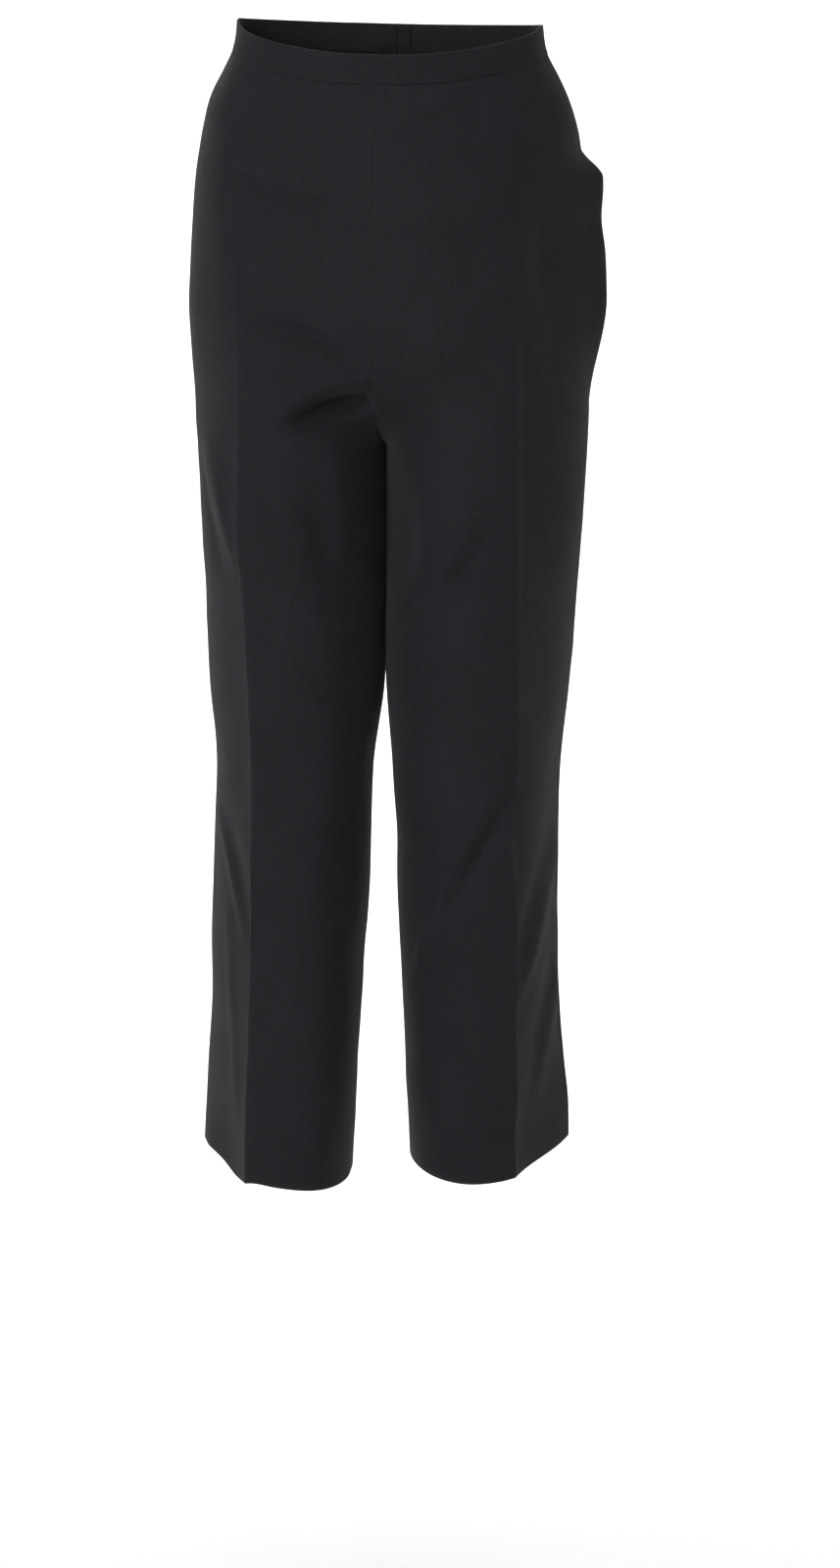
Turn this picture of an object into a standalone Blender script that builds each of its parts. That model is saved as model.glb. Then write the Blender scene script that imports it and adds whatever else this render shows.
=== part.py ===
"""Cropped tailored trousers in their worn form: four panels, a waistband in three pieces, two pocket bags
and a concealed centre-back zip. The front faces -Y, the wearer's left is +X, and the origin lies at the
middle of the waist, half way up the band at the side seams."""

import math

import bpy
import numpy as np

SEAM_GAP = 0.0003
WALL = 0.0014
HEM_WALL = 0.0026
HEM_DEPTH = 0.035
HEM_LEVEL = -0.886
CROTCH_LEVEL = -0.312
CROTCH_Y = 0.012
CURVE_START = -0.195
CROTCH_CLEARANCE = 0.0002
INSEAM_START_SPAN = 0.004
ARC_FULLNESS = 0.38
BACK_FULLNESS = 0.42
FOLD_EDGE_FADE = 0.16
FOLD_END_SHARE = 0.35
FOLD_STEPS = 13
ARC_STEPS = 41

# Above this turn of the crotch curve the section starts to round into the leg, and over this much of the
# turn it is done. Its columns crowd towards the cut, but no more than the limit.
ROUNDING_START = 0.15
ROUNDING_SPAN = 0.80
CROWDING = 0.85
CROWDING_LIMIT = 3.0

# How far each hem stands above its level at its inner end, middle and outer end, fading out up the leg.
HEM_RISE = {"right": (-0.0085, -0.0010, 0.0025), "left": (-0.0010, -0.0045, 0.0030)}
HEM_INNER_X = 0.025
HEM_OUTER_X = 0.145
HEM_RISE_TOP = -0.740
# The corner by the pressed crease hangs a little lower still.
HEM_DROOP = {"right": -0.0058, "left": 0.0}
HEM_DROOP_X = 0.114
HEM_DROOP_WIDTH = 0.013

BAND_HEIGHT = 0.0225
BAND_WALL = 0.0026
BAND_FRONT_DIP = 0.020
BAND_BACK_DIP = 0.006
BAND_SIDE_TILT = 0.002
BAND_HALF_WIDTH = 0.115
BAND_DIP_SOFTNESS = 0.12
BAND_DIP_REACH = 1.2
BAND_PROUD = 0.0003
DIP_FADE_LEVEL = -0.150

QUARTER_COLUMNS = 7
SHARP_DEGREES = 35
BAND_HALF_COLUMNS = 14

# One row for each height of the trunk, shared by both sides: where the centre front and the centre back
# stand above the crotch curve.
CENTRE_COLUMNS = ("z", "front_y", "back_y")
CENTRE_ROWS = (
    (0.020, -0.0835, 0.0850),
    (-0.0115, -0.0850, 0.0860),
    (-0.045, -0.0930, 0.0925),
    (-0.085, -0.1040, 0.1010),
    (-0.130, -0.1130, 0.1100),
    (-0.175, -0.1175, 0.1150),
    (-0.215, -0.1180, 0.1140),
)

# One row for each height of a leg's side of the garment. x grows away from the centre plane. A tilt is the
# angle of the cloth at the crease from straight across, and a kink is how sharply the crease is pressed.
SIDE_COLUMNS = (
    "z", "side_x", "side_y", "lean",
    "front_x", "front_y", "front_tilt", "front_kink", "front_fullness",
    "back_x", "back_y", "back_tilt", "back_kink",
    "inner_x", "inner_y",
)
RIGHT_SIDE_ROWS = (
    (0.02, 0.1130, 0.004, 0, 0.077, -0.0600, 35, 0, 0.52, 0.075, 0.0620, 34, 0, 0.0000, 0.000),
    (-0.0115, 0.1175, 0.004, 0, 0.080, -0.0610, 35, 0, 0.52, 0.077, 0.0640, 34, 0, 0.0000, 0.000),
    (-0.027, 0.1250, 0.005, 0, 0.085, -0.0650, 35, 0, 0.52, 0.081, 0.0690, 34, 0, 0.0000, 0.000),
    (-0.045, 0.1345, 0.006, 0, 0.090, -0.0700, 36, 0, 0.52, 0.085, 0.0750, 34, 0, 0.0000, 0.000),
    (-0.07, 0.1415, 0.007, 0, 0.096, -0.0770, 36, 0, 0.52, 0.089, 0.0850, 34, 0, 0.0000, 0.000),
    (-0.107, 0.1470, 0.008, 0, 0.101, -0.0830, 38, 4, 0.52, 0.092, 0.0950, 33, 0, 0.0000, 0.000),
    (-0.152, 0.1505, 0.009, 0, 0.104, -0.0870, 38, 8, 0.52, 0.094, 0.1040, 32, 0, 0.0000, 0.000),
    (-0.2, 0.1520, 0.010, 0, 0.105, -0.0900, 38, 12, 0.52, 0.095, 0.1080, 33, 6, 0.0000, 0.000),
    (-0.243, 0.1520, 0.010, 0, 0.105, -0.0930, 41, 16, 0.52, 0.095, 0.1060, 34, 12, 0.0000, 0.000),
    (-0.289, 0.1495, 0.010, 0, 0.105, -0.0940, 43, 20, 0.52, 0.094, 0.1010, 35, 18, 0.0002, 0.012),
    (-0.335, 0.1475, 0.010, 0, 0.105, -0.0940, 44, 22, 0.52, 0.093, 0.0950, 40, 18, 0.0002, 0.012),
    (-0.381, 0.1455, 0.010, 2, 0.105, -0.0930, 44, 26, 0.54, 0.092, 0.0880, 40, 20, 0.0002, 0.008),
    (-0.428, 0.1435, 0.010, 4, 0.102, -0.0930, 44, 28, 0.54, 0.090, 0.0810, 40, 22, 0.0002, 0.004),
    (-0.5, 0.1410, 0.009, 6, 0.098, -0.0930, 44, 31, 0.54, 0.086, 0.0740, 40, 26, 0.0012, 0.001),
    (-0.57, 0.1362, 0.008, 8, 0.097, -0.0930, 41, 36, 0.54, 0.083, 0.0690, 39, 32, 0.0100, -0.004),
    (-0.617, 0.1380, 0.008, 9, 0.098, -0.0930, 42, 38, 0.55, 0.082, 0.0660, 40, 32, 0.0115, -0.005),
    (-0.665, 0.1398, 0.008, 10, 0.099, -0.0930, 43, 38, 0.56, 0.082, 0.0630, 40, 32, 0.0128, -0.006),
    (-0.713, 0.1416, 0.008, 11, 0.099, -0.0930, 44, 38, 0.57, 0.083, 0.0600, 40, 32, 0.0168, -0.007),
    (-0.762, 0.1415, 0.008, 12, 0.100, -0.0930, 46, 38, 0.59, 0.084, 0.0570, 40, 32, 0.0192, -0.014),
    (-0.811, 0.1446, 0.008, 14, 0.102, -0.0945, 48, 38, 0.61, 0.086, 0.0540, 40, 32, 0.0222, -0.020),
    (-0.86, 0.1470, 0.007, 16, 0.103, -0.0965, 52, 38, 0.64, 0.088, 0.0515, 40, 32, 0.0246, -0.026),
    (-0.89, 0.1488, 0.007, 16, 0.103, -0.0970, 53, 38, 0.62, 0.089, 0.0500, 40, 32, 0.0256, -0.030),
)
LEFT_SIDE_ROWS = (
    (0.02, 0.1195, 0.004, 0, 0.078, -0.0600, 35, 0, 0.52, 0.076, 0.0620, 34, 0, 0.0000, 0.000),
    (-0.0115, 0.1245, 0.004, 0, 0.081, -0.0610, 35, 0, 0.52, 0.078, 0.0640, 34, 0, 0.0000, 0.000),
    (-0.027, 0.1325, 0.005, 0, 0.087, -0.0650, 35, 0, 0.52, 0.082, 0.0690, 34, 0, 0.0000, 0.000),
    (-0.045, 0.1405, 0.006, 0, 0.092, -0.0700, 36, 0, 0.52, 0.086, 0.0750, 34, 0, 0.0000, 0.000),
    (-0.07, 0.1480, 0.007, 0, 0.098, -0.0770, 36, 0, 0.52, 0.090, 0.0850, 34, 0, 0.0000, 0.000),
    (-0.107, 0.1515, 0.008, 0, 0.104, -0.0830, 38, 4, 0.52, 0.093, 0.0950, 33, 0, 0.0000, 0.000),
    (-0.152, 0.1535, 0.009, 0, 0.108, -0.0860, 38, 8, 0.52, 0.095, 0.1040, 32, 0, 0.0000, 0.000),
    (-0.2, 0.1550, 0.011, 0, 0.110, -0.0880, 38, 12, 0.52, 0.096, 0.1080, 33, 6, 0.0000, 0.000),
    (-0.243, 0.1570, 0.012, 0, 0.111, -0.0890, 41, 14, 0.52, 0.096, 0.1060, 34, 12, 0.0000, 0.000),
    (-0.289, 0.1575, 0.014, 0, 0.111, -0.0890, 44, 18, 0.52, 0.096, 0.1020, 35, 18, 0.0002, 0.012),
    (-0.335, 0.1555, 0.016, 0, 0.111, -0.0880, 45, 20, 0.52, 0.095, 0.0970, 40, 18, 0.0002, 0.012),
    (-0.381, 0.1525, 0.017, 2, 0.111, -0.0870, 46, 22, 0.53, 0.094, 0.0920, 40, 20, 0.0002, 0.008),
    (-0.428, 0.1490, 0.018, 4, 0.111, -0.0860, 46, 24, 0.53, 0.092, 0.0870, 40, 22, 0.0002, 0.004),
    (-0.5, 0.1435, 0.020, 6, 0.112, -0.0840, 46, 27, 0.52, 0.089, 0.0830, 40, 26, 0.0004, 0.001),
    (-0.57, 0.1365, 0.022, 8, 0.111, -0.0820, 45, 30, 0.52, 0.085, 0.0810, 39, 32, 0.0055, 0.002),
    (-0.617, 0.1345, 0.024, 10, 0.108, -0.0800, 47, 31, 0.52, 0.083, 0.0800, 40, 32, 0.0085, 0.002),
    (-0.665, 0.1335, 0.026, 12, 0.108, -0.0780, 49, 32, 0.52, 0.082, 0.0790, 40, 32, 0.0088, 0.002),
    (-0.713, 0.1345, 0.028, 14, 0.109, -0.0750, 51, 33, 0.53, 0.082, 0.0780, 40, 32, 0.0118, 0.002),
    (-0.762, 0.1355, 0.030, 15, 0.110, -0.0720, 53, 34, 0.54, 0.082, 0.0770, 40, 32, 0.0133, 0.003),
    (-0.811, 0.1385, 0.033, 16, 0.110, -0.0680, 56, 35, 0.55, 0.083, 0.0760, 40, 32, 0.0155, 0.004),
    (-0.86, 0.1430, 0.035, 18, 0.109, -0.0640, 58, 36, 0.55, 0.084, 0.0750, 40, 32, 0.0175, 0.005),
    (-0.89, 0.1435, 0.036, 15, 0.108, -0.0620, 60, 36, 0.54, 0.084, 0.0740, 40, 32, 0.0185, 0.005),
)

# The largest folds. A fold runs through three points of a panel, seen square on, and stands out by height
# (or in, where that is negative) over its width.
FOLD_COLUMNS = ("panel", "x1", "z1", "x2", "z2", "x3", "z3", "width", "height")
FOLD_ROWS = (
    ("front_right", 0.101, -0.098, 0.066, -0.108, 0.031, -0.122, 0.018, -0.0028),
    ("front_right", 0.078, -0.213, 0.042, -0.208, 0.004, -0.246, 0.015, -0.0050),
    ("front_right", 0.088, -0.186, 0.048, -0.182, 0.012, -0.212, 0.017, 0.0030),
    ("front_right", 0.064, -0.290, 0.034, -0.276, 0.006, -0.272, 0.013, -0.0100),
    ("front_right", 0.080, -0.262, 0.042, -0.250, 0.012, -0.252, 0.013, 0.0034),
    ("front_right", 0.050, -0.320, 0.036, -0.380, 0.026, -0.450, 0.020, -0.0060),
    ("front_right", 0.130, -0.300, 0.125, -0.345, 0.108, -0.392, 0.013, 0.0034),
    ("front_right", 0.122, -0.600, 0.114, -0.650, 0.102, -0.695, 0.015, -0.0030),
    ("front_left", 0.010, -0.056, 0.032, -0.042, 0.056, -0.028, 0.012, 0.0020),
    ("front_left", 0.132, -0.090, 0.130, -0.150, 0.138, -0.240, 0.018, -0.0070),
    ("front_left", 0.078, -0.376, 0.062, -0.404, 0.040, -0.430, 0.017, -0.0040),
    ("front_left", 0.048, -0.300, 0.052, -0.350, 0.046, -0.410, 0.020, 0.0030),
    ("front_left", 0.016, -0.345, 0.013, -0.385, 0.016, -0.425, 0.018, -0.0075),
    ("front_left", 0.107, -0.572, 0.085, -0.622, 0.056, -0.664, 0.016, -0.0046),
    ("front_left", 0.052, -0.650, 0.040, -0.700, 0.030, -0.728, 0.013, 0.0034),
    ("front_left", 0.136, -0.590, 0.124, -0.665, 0.110, -0.738, 0.013, 0.0030),
    ("front_left", 0.136, -0.680, 0.129, -0.750, 0.122, -0.824, 0.012, 0.0026),
    ("back_right", 0.020, -0.256, 0.058, -0.280, 0.104, -0.266, 0.015, -0.0052),
    ("back_right", 0.014, -0.318, 0.052, -0.348, 0.098, -0.346, 0.016, -0.0054),
    ("back_right", 0.122, -0.556, 0.085, -0.592, 0.045, -0.588, 0.017, -0.0046),
    ("back_right", 0.112, -0.620, 0.080, -0.652, 0.040, -0.694, 0.016, 0.0036),
    ("back_left", 0.022, -0.250, 0.062, -0.273, 0.108, -0.258, 0.015, -0.0048),
    ("back_left", 0.014, -0.322, 0.054, -0.354, 0.102, -0.357, 0.016, -0.0056),
    ("back_left", 0.120, -0.572, 0.082, -0.612, 0.042, -0.604, 0.017, -0.0048),
    ("back_left", 0.114, -0.646, 0.082, -0.674, 0.040, -0.718, 0.016, 0.0036),
)

# The mouth of each side-seam pocket: how far its front and back lips bow out, and how far they part.
POCKET_TOP = -0.082
POCKET_BOTTOM = -0.245
POCKET_COLUMNS = ("front_bow", "back_bow", "parting")
POCKET_LIPS = {"left": (0.0165, 0.0050, 0.0075), "right": (0.0010, 0.0006, 0.0007)}
POCKET_RISE_SPAN = 0.024
POCKET_BULGE_END = -0.195
POCKET_BULGE_FALL = 0.090
POCKET_DENT = 0.16
POCKET_DENT_LEVEL = -0.138
POCKET_DENT_SPAN = 0.018
POCKET_REACH = 0.50
BAG_WALL = 0.0010
BAG_SEAT = 0.0008
BAG_FULLNESS = 0.0050
BAG_BACK = -0.24
BAG_FRONT = 0.90
BAG_TOP = -0.070
BAG_BOTTOM = -0.275
BAG_EDGE_FADE = 0.25
BAG_ROWS = 13
BAG_COLUMNS = 12

# The concealed zip's slider just under the band at the centre back, and its pull tab hinged on it.
ZIP_LEVEL = -0.028
SLIDER_WIDTH = 0.0060
SLIDER_LENGTH = 0.0090
SLIDER_THICK = 0.0012
CHEEK_THICK = 0.0010
CHEEK_INSIDE = 0.0017
CHEEK_LENGTH = 0.0036
CHEEK_ROOT = 0.0003
CHEEK_ABOVE_PIN = 0.0010
PIVOT_RISE = 0.0015
PIN_RADIUS = 0.0006
KNUCKLE_RADIUS = 0.0012
KNUCKLE_BORE = 0.0009
KNUCKLE_HALF = 0.0014
PULL_LENGTH = 0.022
PULL_WIDTH = 0.0052
PULL_NECK = 0.0028
PULL_NECK_END = 0.0035
PULL_SHOULDER = 0.0065
PULL_THICK = 0.0010
PULL_REST_GAP = 0.0004
ROUND_SIDES = 16

TRUNK_LEVELS = (
    -0.01155, -0.027, -0.045, -0.065, -0.084, -0.098, -0.112, -0.130, -0.150, -0.168, -0.183, CURVE_START,
)
CURVE_STEPS = 10
LEG_LEVELS = (
    -0.316, -0.323, -0.332, -0.342, -0.353, -0.365, -0.378, -0.392, -0.407, -0.423, -0.442, -0.466,
    -0.496, -0.530, -0.566, -0.600, -0.630, -0.660, -0.692, -0.726, -0.764, -0.806,
    -0.8500, -0.8515, HEM_LEVEL,
)

CLOTH_BLACK = (0.013, 0.012, 0.014, 1.0)
BAG_BLACK = (0.010, 0.010, 0.011, 1.0)
ZIP_BLACK = (0.020, 0.020, 0.021, 1.0)


def ease(value):
    """0 below 0, 1 above 1, and a soft step between."""
    part = np.clip(value, 0.0, 1.0)
    return part * part * (3.0 - 2.0 * part)


def table(columns, rows):
    return {name: np.array([row[k] for row in rows], float) for k, name in enumerate(columns)}


CENTRE = table(CENTRE_COLUMNS, CENTRE_ROWS)
SIDES = {"right": table(SIDE_COLUMNS, RIGHT_SIDE_ROWS), "left": table(SIDE_COLUMNS, LEFT_SIDE_ROWS)}


def along(rows, name, level):
    """A table's column read at any height, on one smooth curve through its rows."""
    heights = rows["z"][::-1]
    values = rows[name][::-1]
    slopes = np.gradient(values, heights)
    k = np.clip(np.searchsorted(heights, level) - 1, 0, len(heights) - 2)
    span = heights[k + 1] - heights[k]
    t = np.clip((level - heights[k]) / span, 0.0, 1.0)
    start = values[k] * (1 + 2 * t) * (1 - t) ** 2 + slopes[k] * span * t * (1 - t) ** 2
    end = values[k + 1] * t * t * (3 - 2 * t) + slopes[k + 1] * span * t * t * (t - 1)
    return start + end


def crotch_turn(level):
    """0 above the crotch curve, 1 at its lowest point and below, as the sine of the angle turned."""
    return np.clip((CURVE_START - level) / (CURVE_START - CROTCH_LEVEL), 0.0, 1.0)


def inner_edge(side, face, level):
    """Where the section ends inwards: the centre seam above the crotch, the inseam below it."""
    turn = crotch_turn(level)
    bend = 1.0 - np.sqrt(1.0 - turn * turn)
    straight = along(CENTRE, face + "_y", np.maximum(level, CURVE_START))
    y_trunk = straight + (CROTCH_Y - straight) * bend
    below = ease((CROTCH_LEVEL - level) / INSEAM_START_SPAN)
    x = CROTCH_CLEARANCE * turn + (along(SIDES[side], "inner_x", level) - CROTCH_CLEARANCE) * below
    y = np.where(level < CROTCH_LEVEL, along(SIDES[side], "inner_y", level), y_trunk)
    return np.maximum(x, CROTCH_CLEARANCE * turn), y


def quarter(start, start_way, end, end_way, fullness, t):
    """Points and headings of one cubic arc, for arrays of heights (rows) and places along it (columns)."""
    chord = np.hypot(end[0] - start[0], end[1] - start[1])
    reach = fullness * chord
    points = []
    headings = []
    for axis in (0, 1):
        a = start[axis][:, None]
        b = (start[axis] + reach * start_way[axis])[:, None]
        c = (end[axis] - reach * end_way[axis])[:, None]
        d = end[axis][:, None]
        points.append(a * (1 - t) ** 3 + 3 * b * t * (1 - t) ** 2 + 3 * c * t * t * (1 - t) + d * t ** 3)
        headings.append(3 * ((b - a) * (1 - t) ** 2 + 2 * (c - b) * t * (1 - t) + (d - c) * t * t))
    return points, headings


def inner_quarter(face, level, crease, from_crease, inner, full, t):
    """From the crease inwards. Above the crotch curve it runs straight to the centre seam. Below, it rounds
    into the leg's inner side, and along the curve it is the leg's round, cut off at the centre seam."""
    back_way = 1.0 if face == "front" else -1.0
    ones = np.ones_like(level)
    across, across_heading = quarter(crease, from_crease, inner, (-ones, 0 * ones), ARC_FULLNESS, t)
    leg_end = (inner[0], np.where(level < CROTCH_LEVEL, inner[1], CROTCH_Y))
    leg_way = (0 * ones, back_way * ones)
    steps = np.linspace(0.0, 1.0, ARC_STEPS)[None, :]
    leg, _ = quarter(crease, from_crease, leg_end, leg_way, full, steps)
    cut = np.ones_like(level)
    for k in range(len(level)):
        start = int(np.argmin(leg[1][k] * back_way))
        run = leg[1][k, start:] * back_way
        cut[k] = np.interp(inner[1][k] * back_way, run, steps[0, start:])
    cut = cut[:, None]
    hold = np.clip(CROWDING / np.maximum(1 - cut, 0.01), 1.0, CROWDING_LIMIT)
    place = t - (1 - cut) * t ** hold
    pace = 1 - (1 - cut) * hold * t ** (hold - 1)
    bent, bent_heading = quarter(crease, from_crease, leg_end, leg_way, full, place)
    rounded = ease((crotch_turn(level) - ROUNDING_START) / ROUNDING_SPAN)[:, None]
    points = [(1 - rounded) * across[k] + rounded * bent[k] for k in (0, 1)]
    headings = [(1 - rounded) * across_heading[k] + rounded * pace * bent_heading[k] for k in (0, 1)]
    ends = quarter(crease, from_crease, leg_end, leg_way, full, cut)[0]
    miss = [rounded * (inner[k][:, None] - ends[k]) for k in (0, 1)]
    points = [points[k] + miss[k] * t ** 3 for k in (0, 1)]
    headings = [headings[k] + 3 * miss[k] * t * t for k in (0, 1)]
    return points, headings


def section(side, face, level, u):
    """The bare form: x, y and outward x, y for rows of heights and columns of u, which runs from 0 at the
    side seam through 1 at the crease to 2 at the centre seam or inseam."""
    rows = SIDES[side]
    to_face = -1.0 if face == "front" else 1.0
    lean = np.radians(along(rows, "lean", level)) * -to_face
    tilt = np.radians(along(rows, face + "_tilt", level))
    kink = np.radians(along(rows, face + "_kink", level)) / 2
    seam = (along(rows, "side_x", level), along(rows, "side_y", level))
    crease = (along(rows, face + "_x", level), along(rows, face + "_y", level))
    inner = inner_edge(side, face, level)
    full = along(rows, "front_fullness", level) if face == "front" else np.full_like(level, BACK_FULLNESS)
    outer_ways = (
        (-np.sin(lean), to_face * np.cos(lean)),
        (-np.cos(tilt + kink), to_face * np.sin(tilt + kink)),
    )
    from_crease = (-np.cos(tilt - kink), to_face * np.sin(tilt - kink))
    outer, outer_heading = quarter(seam, outer_ways[0], crease, outer_ways[1], ARC_FULLNESS, np.clip(u, 0, 1))
    inside, inside_heading = inner_quarter(face, level, crease, from_crease, inner, full, np.clip(u - 1, 0, 1))
    x, y = (np.where(u <= 1, outer[k], inside[k]) for k in (0, 1))
    along_x, along_y = (np.where(u <= 1, outer_heading[k], inside_heading[k]) for k in (0, 1))
    length = np.hypot(along_x, along_y)
    return x, y, to_face * along_y / length, -to_face * along_x / length


def fold_height(panel, x, z):
    """How far the folds of a panel move a place on it, out or in."""
    total = np.zeros_like(x)
    for row in FOLD_ROWS:
        fold = dict(zip(FOLD_COLUMNS, row))
        if fold["panel"] != panel:
            continue
        steps = np.linspace(0.0, 1.0, FOLD_STEPS)
        near = np.full_like(x, 1.0)
        place = np.zeros_like(x)
        for t in steps:
            fx = fold["x1"] * (1 - t) ** 2 + 2 * fold["x2"] * t * (1 - t) + fold["x3"] * t * t
            fz = fold["z1"] * (1 - t) ** 2 + 2 * fold["z2"] * t * (1 - t) + fold["z3"] * t * t
            gap = np.hypot(x - fx, z - fz)
            place = np.where(gap < near, t, place)
            near = np.minimum(near, gap)
        fade = FOLD_END_SHARE + (1 - FOLD_END_SHARE) * np.sin(math.pi * place)
        total += fold["height"] * fade * np.exp(-((near / fold["width"]) ** 2))
    return total


def waist_drop(face, level, y, side_y, centre_y):
    """How far the band and the cloth under it hang below level, more towards the front."""
    dip = BAND_FRONT_DIP if face == "front" else BAND_BACK_DIP
    round_way = np.clip((y - side_y) / (centre_y - side_y), 0.0, BAND_DIP_REACH)
    fade = ease((level - DIP_FADE_LEVEL) / -DIP_FADE_LEVEL)
    return dip * (1 + BAND_DIP_SOFTNESS) * round_way ** 2 / (round_way + BAND_DIP_SOFTNESS) * fade


def hem_rise(side, level, x):
    """How far the lower leg is lifted at a place across it."""
    inner, middle, outer = HEM_RISE[side]
    t = np.clip((x - HEM_INNER_X) / (HEM_OUTER_X - HEM_INNER_X), 0.0, 1.0)
    rise = inner * (1 - t) * (1 - 2 * t) + 4 * middle * t * (1 - t) + outer * t * (2 * t - 1)
    rise = rise + HEM_DROOP[side] * np.exp(-(((x - HEM_DROOP_X) / HEM_DROOP_WIDTH) ** 2))
    return rise * ease((HEM_RISE_TOP - level) / (HEM_RISE_TOP - HEM_LEVEL))


def pocket_bow(side, face, level, u):
    """Outward bow of a pocket's lip and its shift away from the other lip."""
    lips = dict(zip(POCKET_COLUMNS, POCKET_LIPS[side]))
    rise = ease((POCKET_TOP - level) / POCKET_RISE_SPAN)
    fall = 1 - ease((POCKET_BULGE_END - level) / POCKET_BULGE_FALL)
    waver = 1 - POCKET_DENT * np.exp(-(((level - POCKET_DENT_LEVEL) / POCKET_DENT_SPAN) ** 2))
    across = np.clip(1 - u / POCKET_REACH, 0, 1) ** 2
    mouth = np.sin(math.pi * np.clip((POCKET_TOP - level) / (POCKET_TOP - POCKET_BOTTOM), 0, 1))
    return lips[face + "_bow"] * rise * fall * waver * across, lips["parting"] / 2 * mouth * across


def surface(side, face, level, u, bowed=True):
    """Outer points of the cloth for a column of heights and a row of u."""
    level = np.atleast_1d(np.asarray(level, float))
    u = np.atleast_2d(np.asarray(u, float)) * np.ones((len(level), 1))
    rows = SIDES[side]
    x, y, out_x, out_y = section(side, face, level, u)
    z = level[:, None] * np.ones_like(u)
    window = ease(u / FOLD_EDGE_FADE) * ease((2 - u) / FOLD_EDGE_FADE)
    height = fold_height(face + "_" + side, x, z) * window
    if bowed:
        bow, parting = pocket_bow(side, face, z, u)
        height = height + bow
    else:
        parting = np.zeros_like(u)
    side_y = along(rows, "side_y", level)[:, None]
    centre_y = along(CENTRE, face + "_y", np.maximum(level, CURVE_START))[:, None]
    z = z - waist_drop(face, z, y, side_y, centre_y)
    x = x + height * out_x
    y = y + height * out_y + (-parting if face == "front" else parting)
    sign = 1.0 if side == "left" else -1.0
    waist_fade = ease((level[:, None] - DIP_FADE_LEVEL) / -DIP_FADE_LEVEL)
    z = z - BAND_SIDE_TILT * sign * x / BAND_HALF_WIDTH * waist_fade + hem_rise(side, level[:, None], x)
    return np.stack([sign * x, y, z], axis=-1)


def outward(side, face, level, u, bowed=True):
    """Unit normals of the cloth, by small steps both ways from each place."""
    du = 0.01
    dz = 0.0004
    high = surface(side, face, level + dz, u, bowed)
    low = surface(side, face, level - dz, u, bowed)
    ahead = surface(side, face, level, np.clip(u + du, 0, 2), bowed)
    behind = surface(side, face, level, np.clip(u - du, 0, 2), bowed)
    normal = np.cross(high - low, ahead - behind)
    normal /= np.linalg.norm(normal, axis=-1, keepdims=True)
    # Outward, the normal leads away from the middle of its own leg or of the half trunk.
    facing = -1.0 if (side == "left") == (face == "back") else 1.0
    return normal * facing


def material(name, colour, roughness, metallic=0.0):
    made = bpy.data.materials.new(name)
    made.use_nodes = True
    shader = made.node_tree.nodes["Principled BSDF"]
    shader.inputs["Base Color"].default_value = colour
    shader.inputs["Roughness"].default_value = roughness
    shader.inputs["Metallic"].default_value = metallic
    return made


def make_object(name, points, faces, finish):
    mesh = bpy.data.meshes.new(name)
    mesh.from_pydata([tuple(float(c) for c in p) for p in points], [], faces)
    mesh.validate()
    mesh.shade_smooth()
    mesh.set_sharp_from_angle(angle=math.radians(SHARP_DEGREES))
    mesh.materials.append(finish)
    made = bpy.data.objects.new(name, mesh)
    bpy.context.scene.collection.objects.link(made)
    return made


def wall(name, outer, inner, finish):
    """A closed wall between two grids of points, with its four rims."""
    rows, columns = outer.shape[:2]
    points = np.concatenate([outer.reshape(-1, 3), inner.reshape(-1, 3)])
    half = rows * columns
    faces = []
    for r in range(rows - 1):
        for c in range(columns - 1):
            a = r * columns + c
            quad = (a, a + 1, a + columns + 1, a + columns)
            faces.append(quad)
            faces.append(tuple(k + half for k in reversed(quad)))
    top = list(range(columns))
    end = [r * columns + columns - 1 for r in range(rows)]
    foot = [(rows - 1) * columns + c for c in range(columns)][::-1]
    start = [r * columns for r in range(rows)][::-1]
    rim = top + end[1:] + foot[1:] + start[1:-1]
    for a, b in zip(rim, rim[1:] + rim[:1]):
        faces.append((b, a, a + half, b + half))
    corners = np.array([points[list(face[:3])] for face in faces])
    if np.linalg.det(corners).sum() < 0:
        faces = [tuple(reversed(face)) for face in faces]
    return make_object(name, points, faces, finish)


def panel_levels():
    turns = np.radians(90.0 * np.arange(1, CURVE_STEPS + 1) / CURVE_STEPS)
    curve = CURVE_START - (CURVE_START - CROTCH_LEVEL) * np.sin(turns)
    return np.concatenate([TRUNK_LEVELS, curve, LEG_LEVELS])


def drawn_in(side, face, level, u):
    """A row of u for every height, with its first and last places half a seam gap short of 0 and 2."""
    grid = np.ones((len(level), 1)) * u
    step = 0.01
    for place, ahead, sign in ((0, step, 1.0), (-1, 2 - step, -1.0)):
        edge = np.where(sign > 0, 0.0, 2.0)
        run = surface(side, face, level, [ahead]) - surface(side, face, level, [edge])
        speed = np.linalg.norm(run, axis=-1)[:, 0] / step
        grid[:, place] = edge + sign * SEAM_GAP / 2 / speed
    return grid


def make_panel(side, face, finish):
    levels = panel_levels()
    u = drawn_in(side, face, levels, np.linspace(0.0, 2.0, 2 * QUARTER_COLUMNS + 1))
    outer = surface(side, face, levels, u)
    thick = np.where(levels < HEM_LEVEL + HEM_DEPTH, HEM_WALL, WALL)[:, None, None]
    inner = outer - outward(side, face, levels, u) * thick
    return wall(face + "_" + side, outer, inner, finish)


def band_grid(side, face, start, end):
    levels = np.linspace(BAND_HEIGHT / 2, -BAND_HEIGHT / 2, 4)
    u = drawn_in(side, face, levels, np.linspace(0.0, 2.0, BAND_HALF_COLUMNS + 1))
    u[:, 0] = np.where(start, u[:, 0], 0.0)
    u[:, -1] = np.where(end, u[:, -1], 2.0)
    outer = surface(side, face, levels, u)
    normal = outward(side, face, levels, u)
    return outer + normal * BAND_PROUD, outer - normal * (BAND_WALL - BAND_PROUD)


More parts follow.
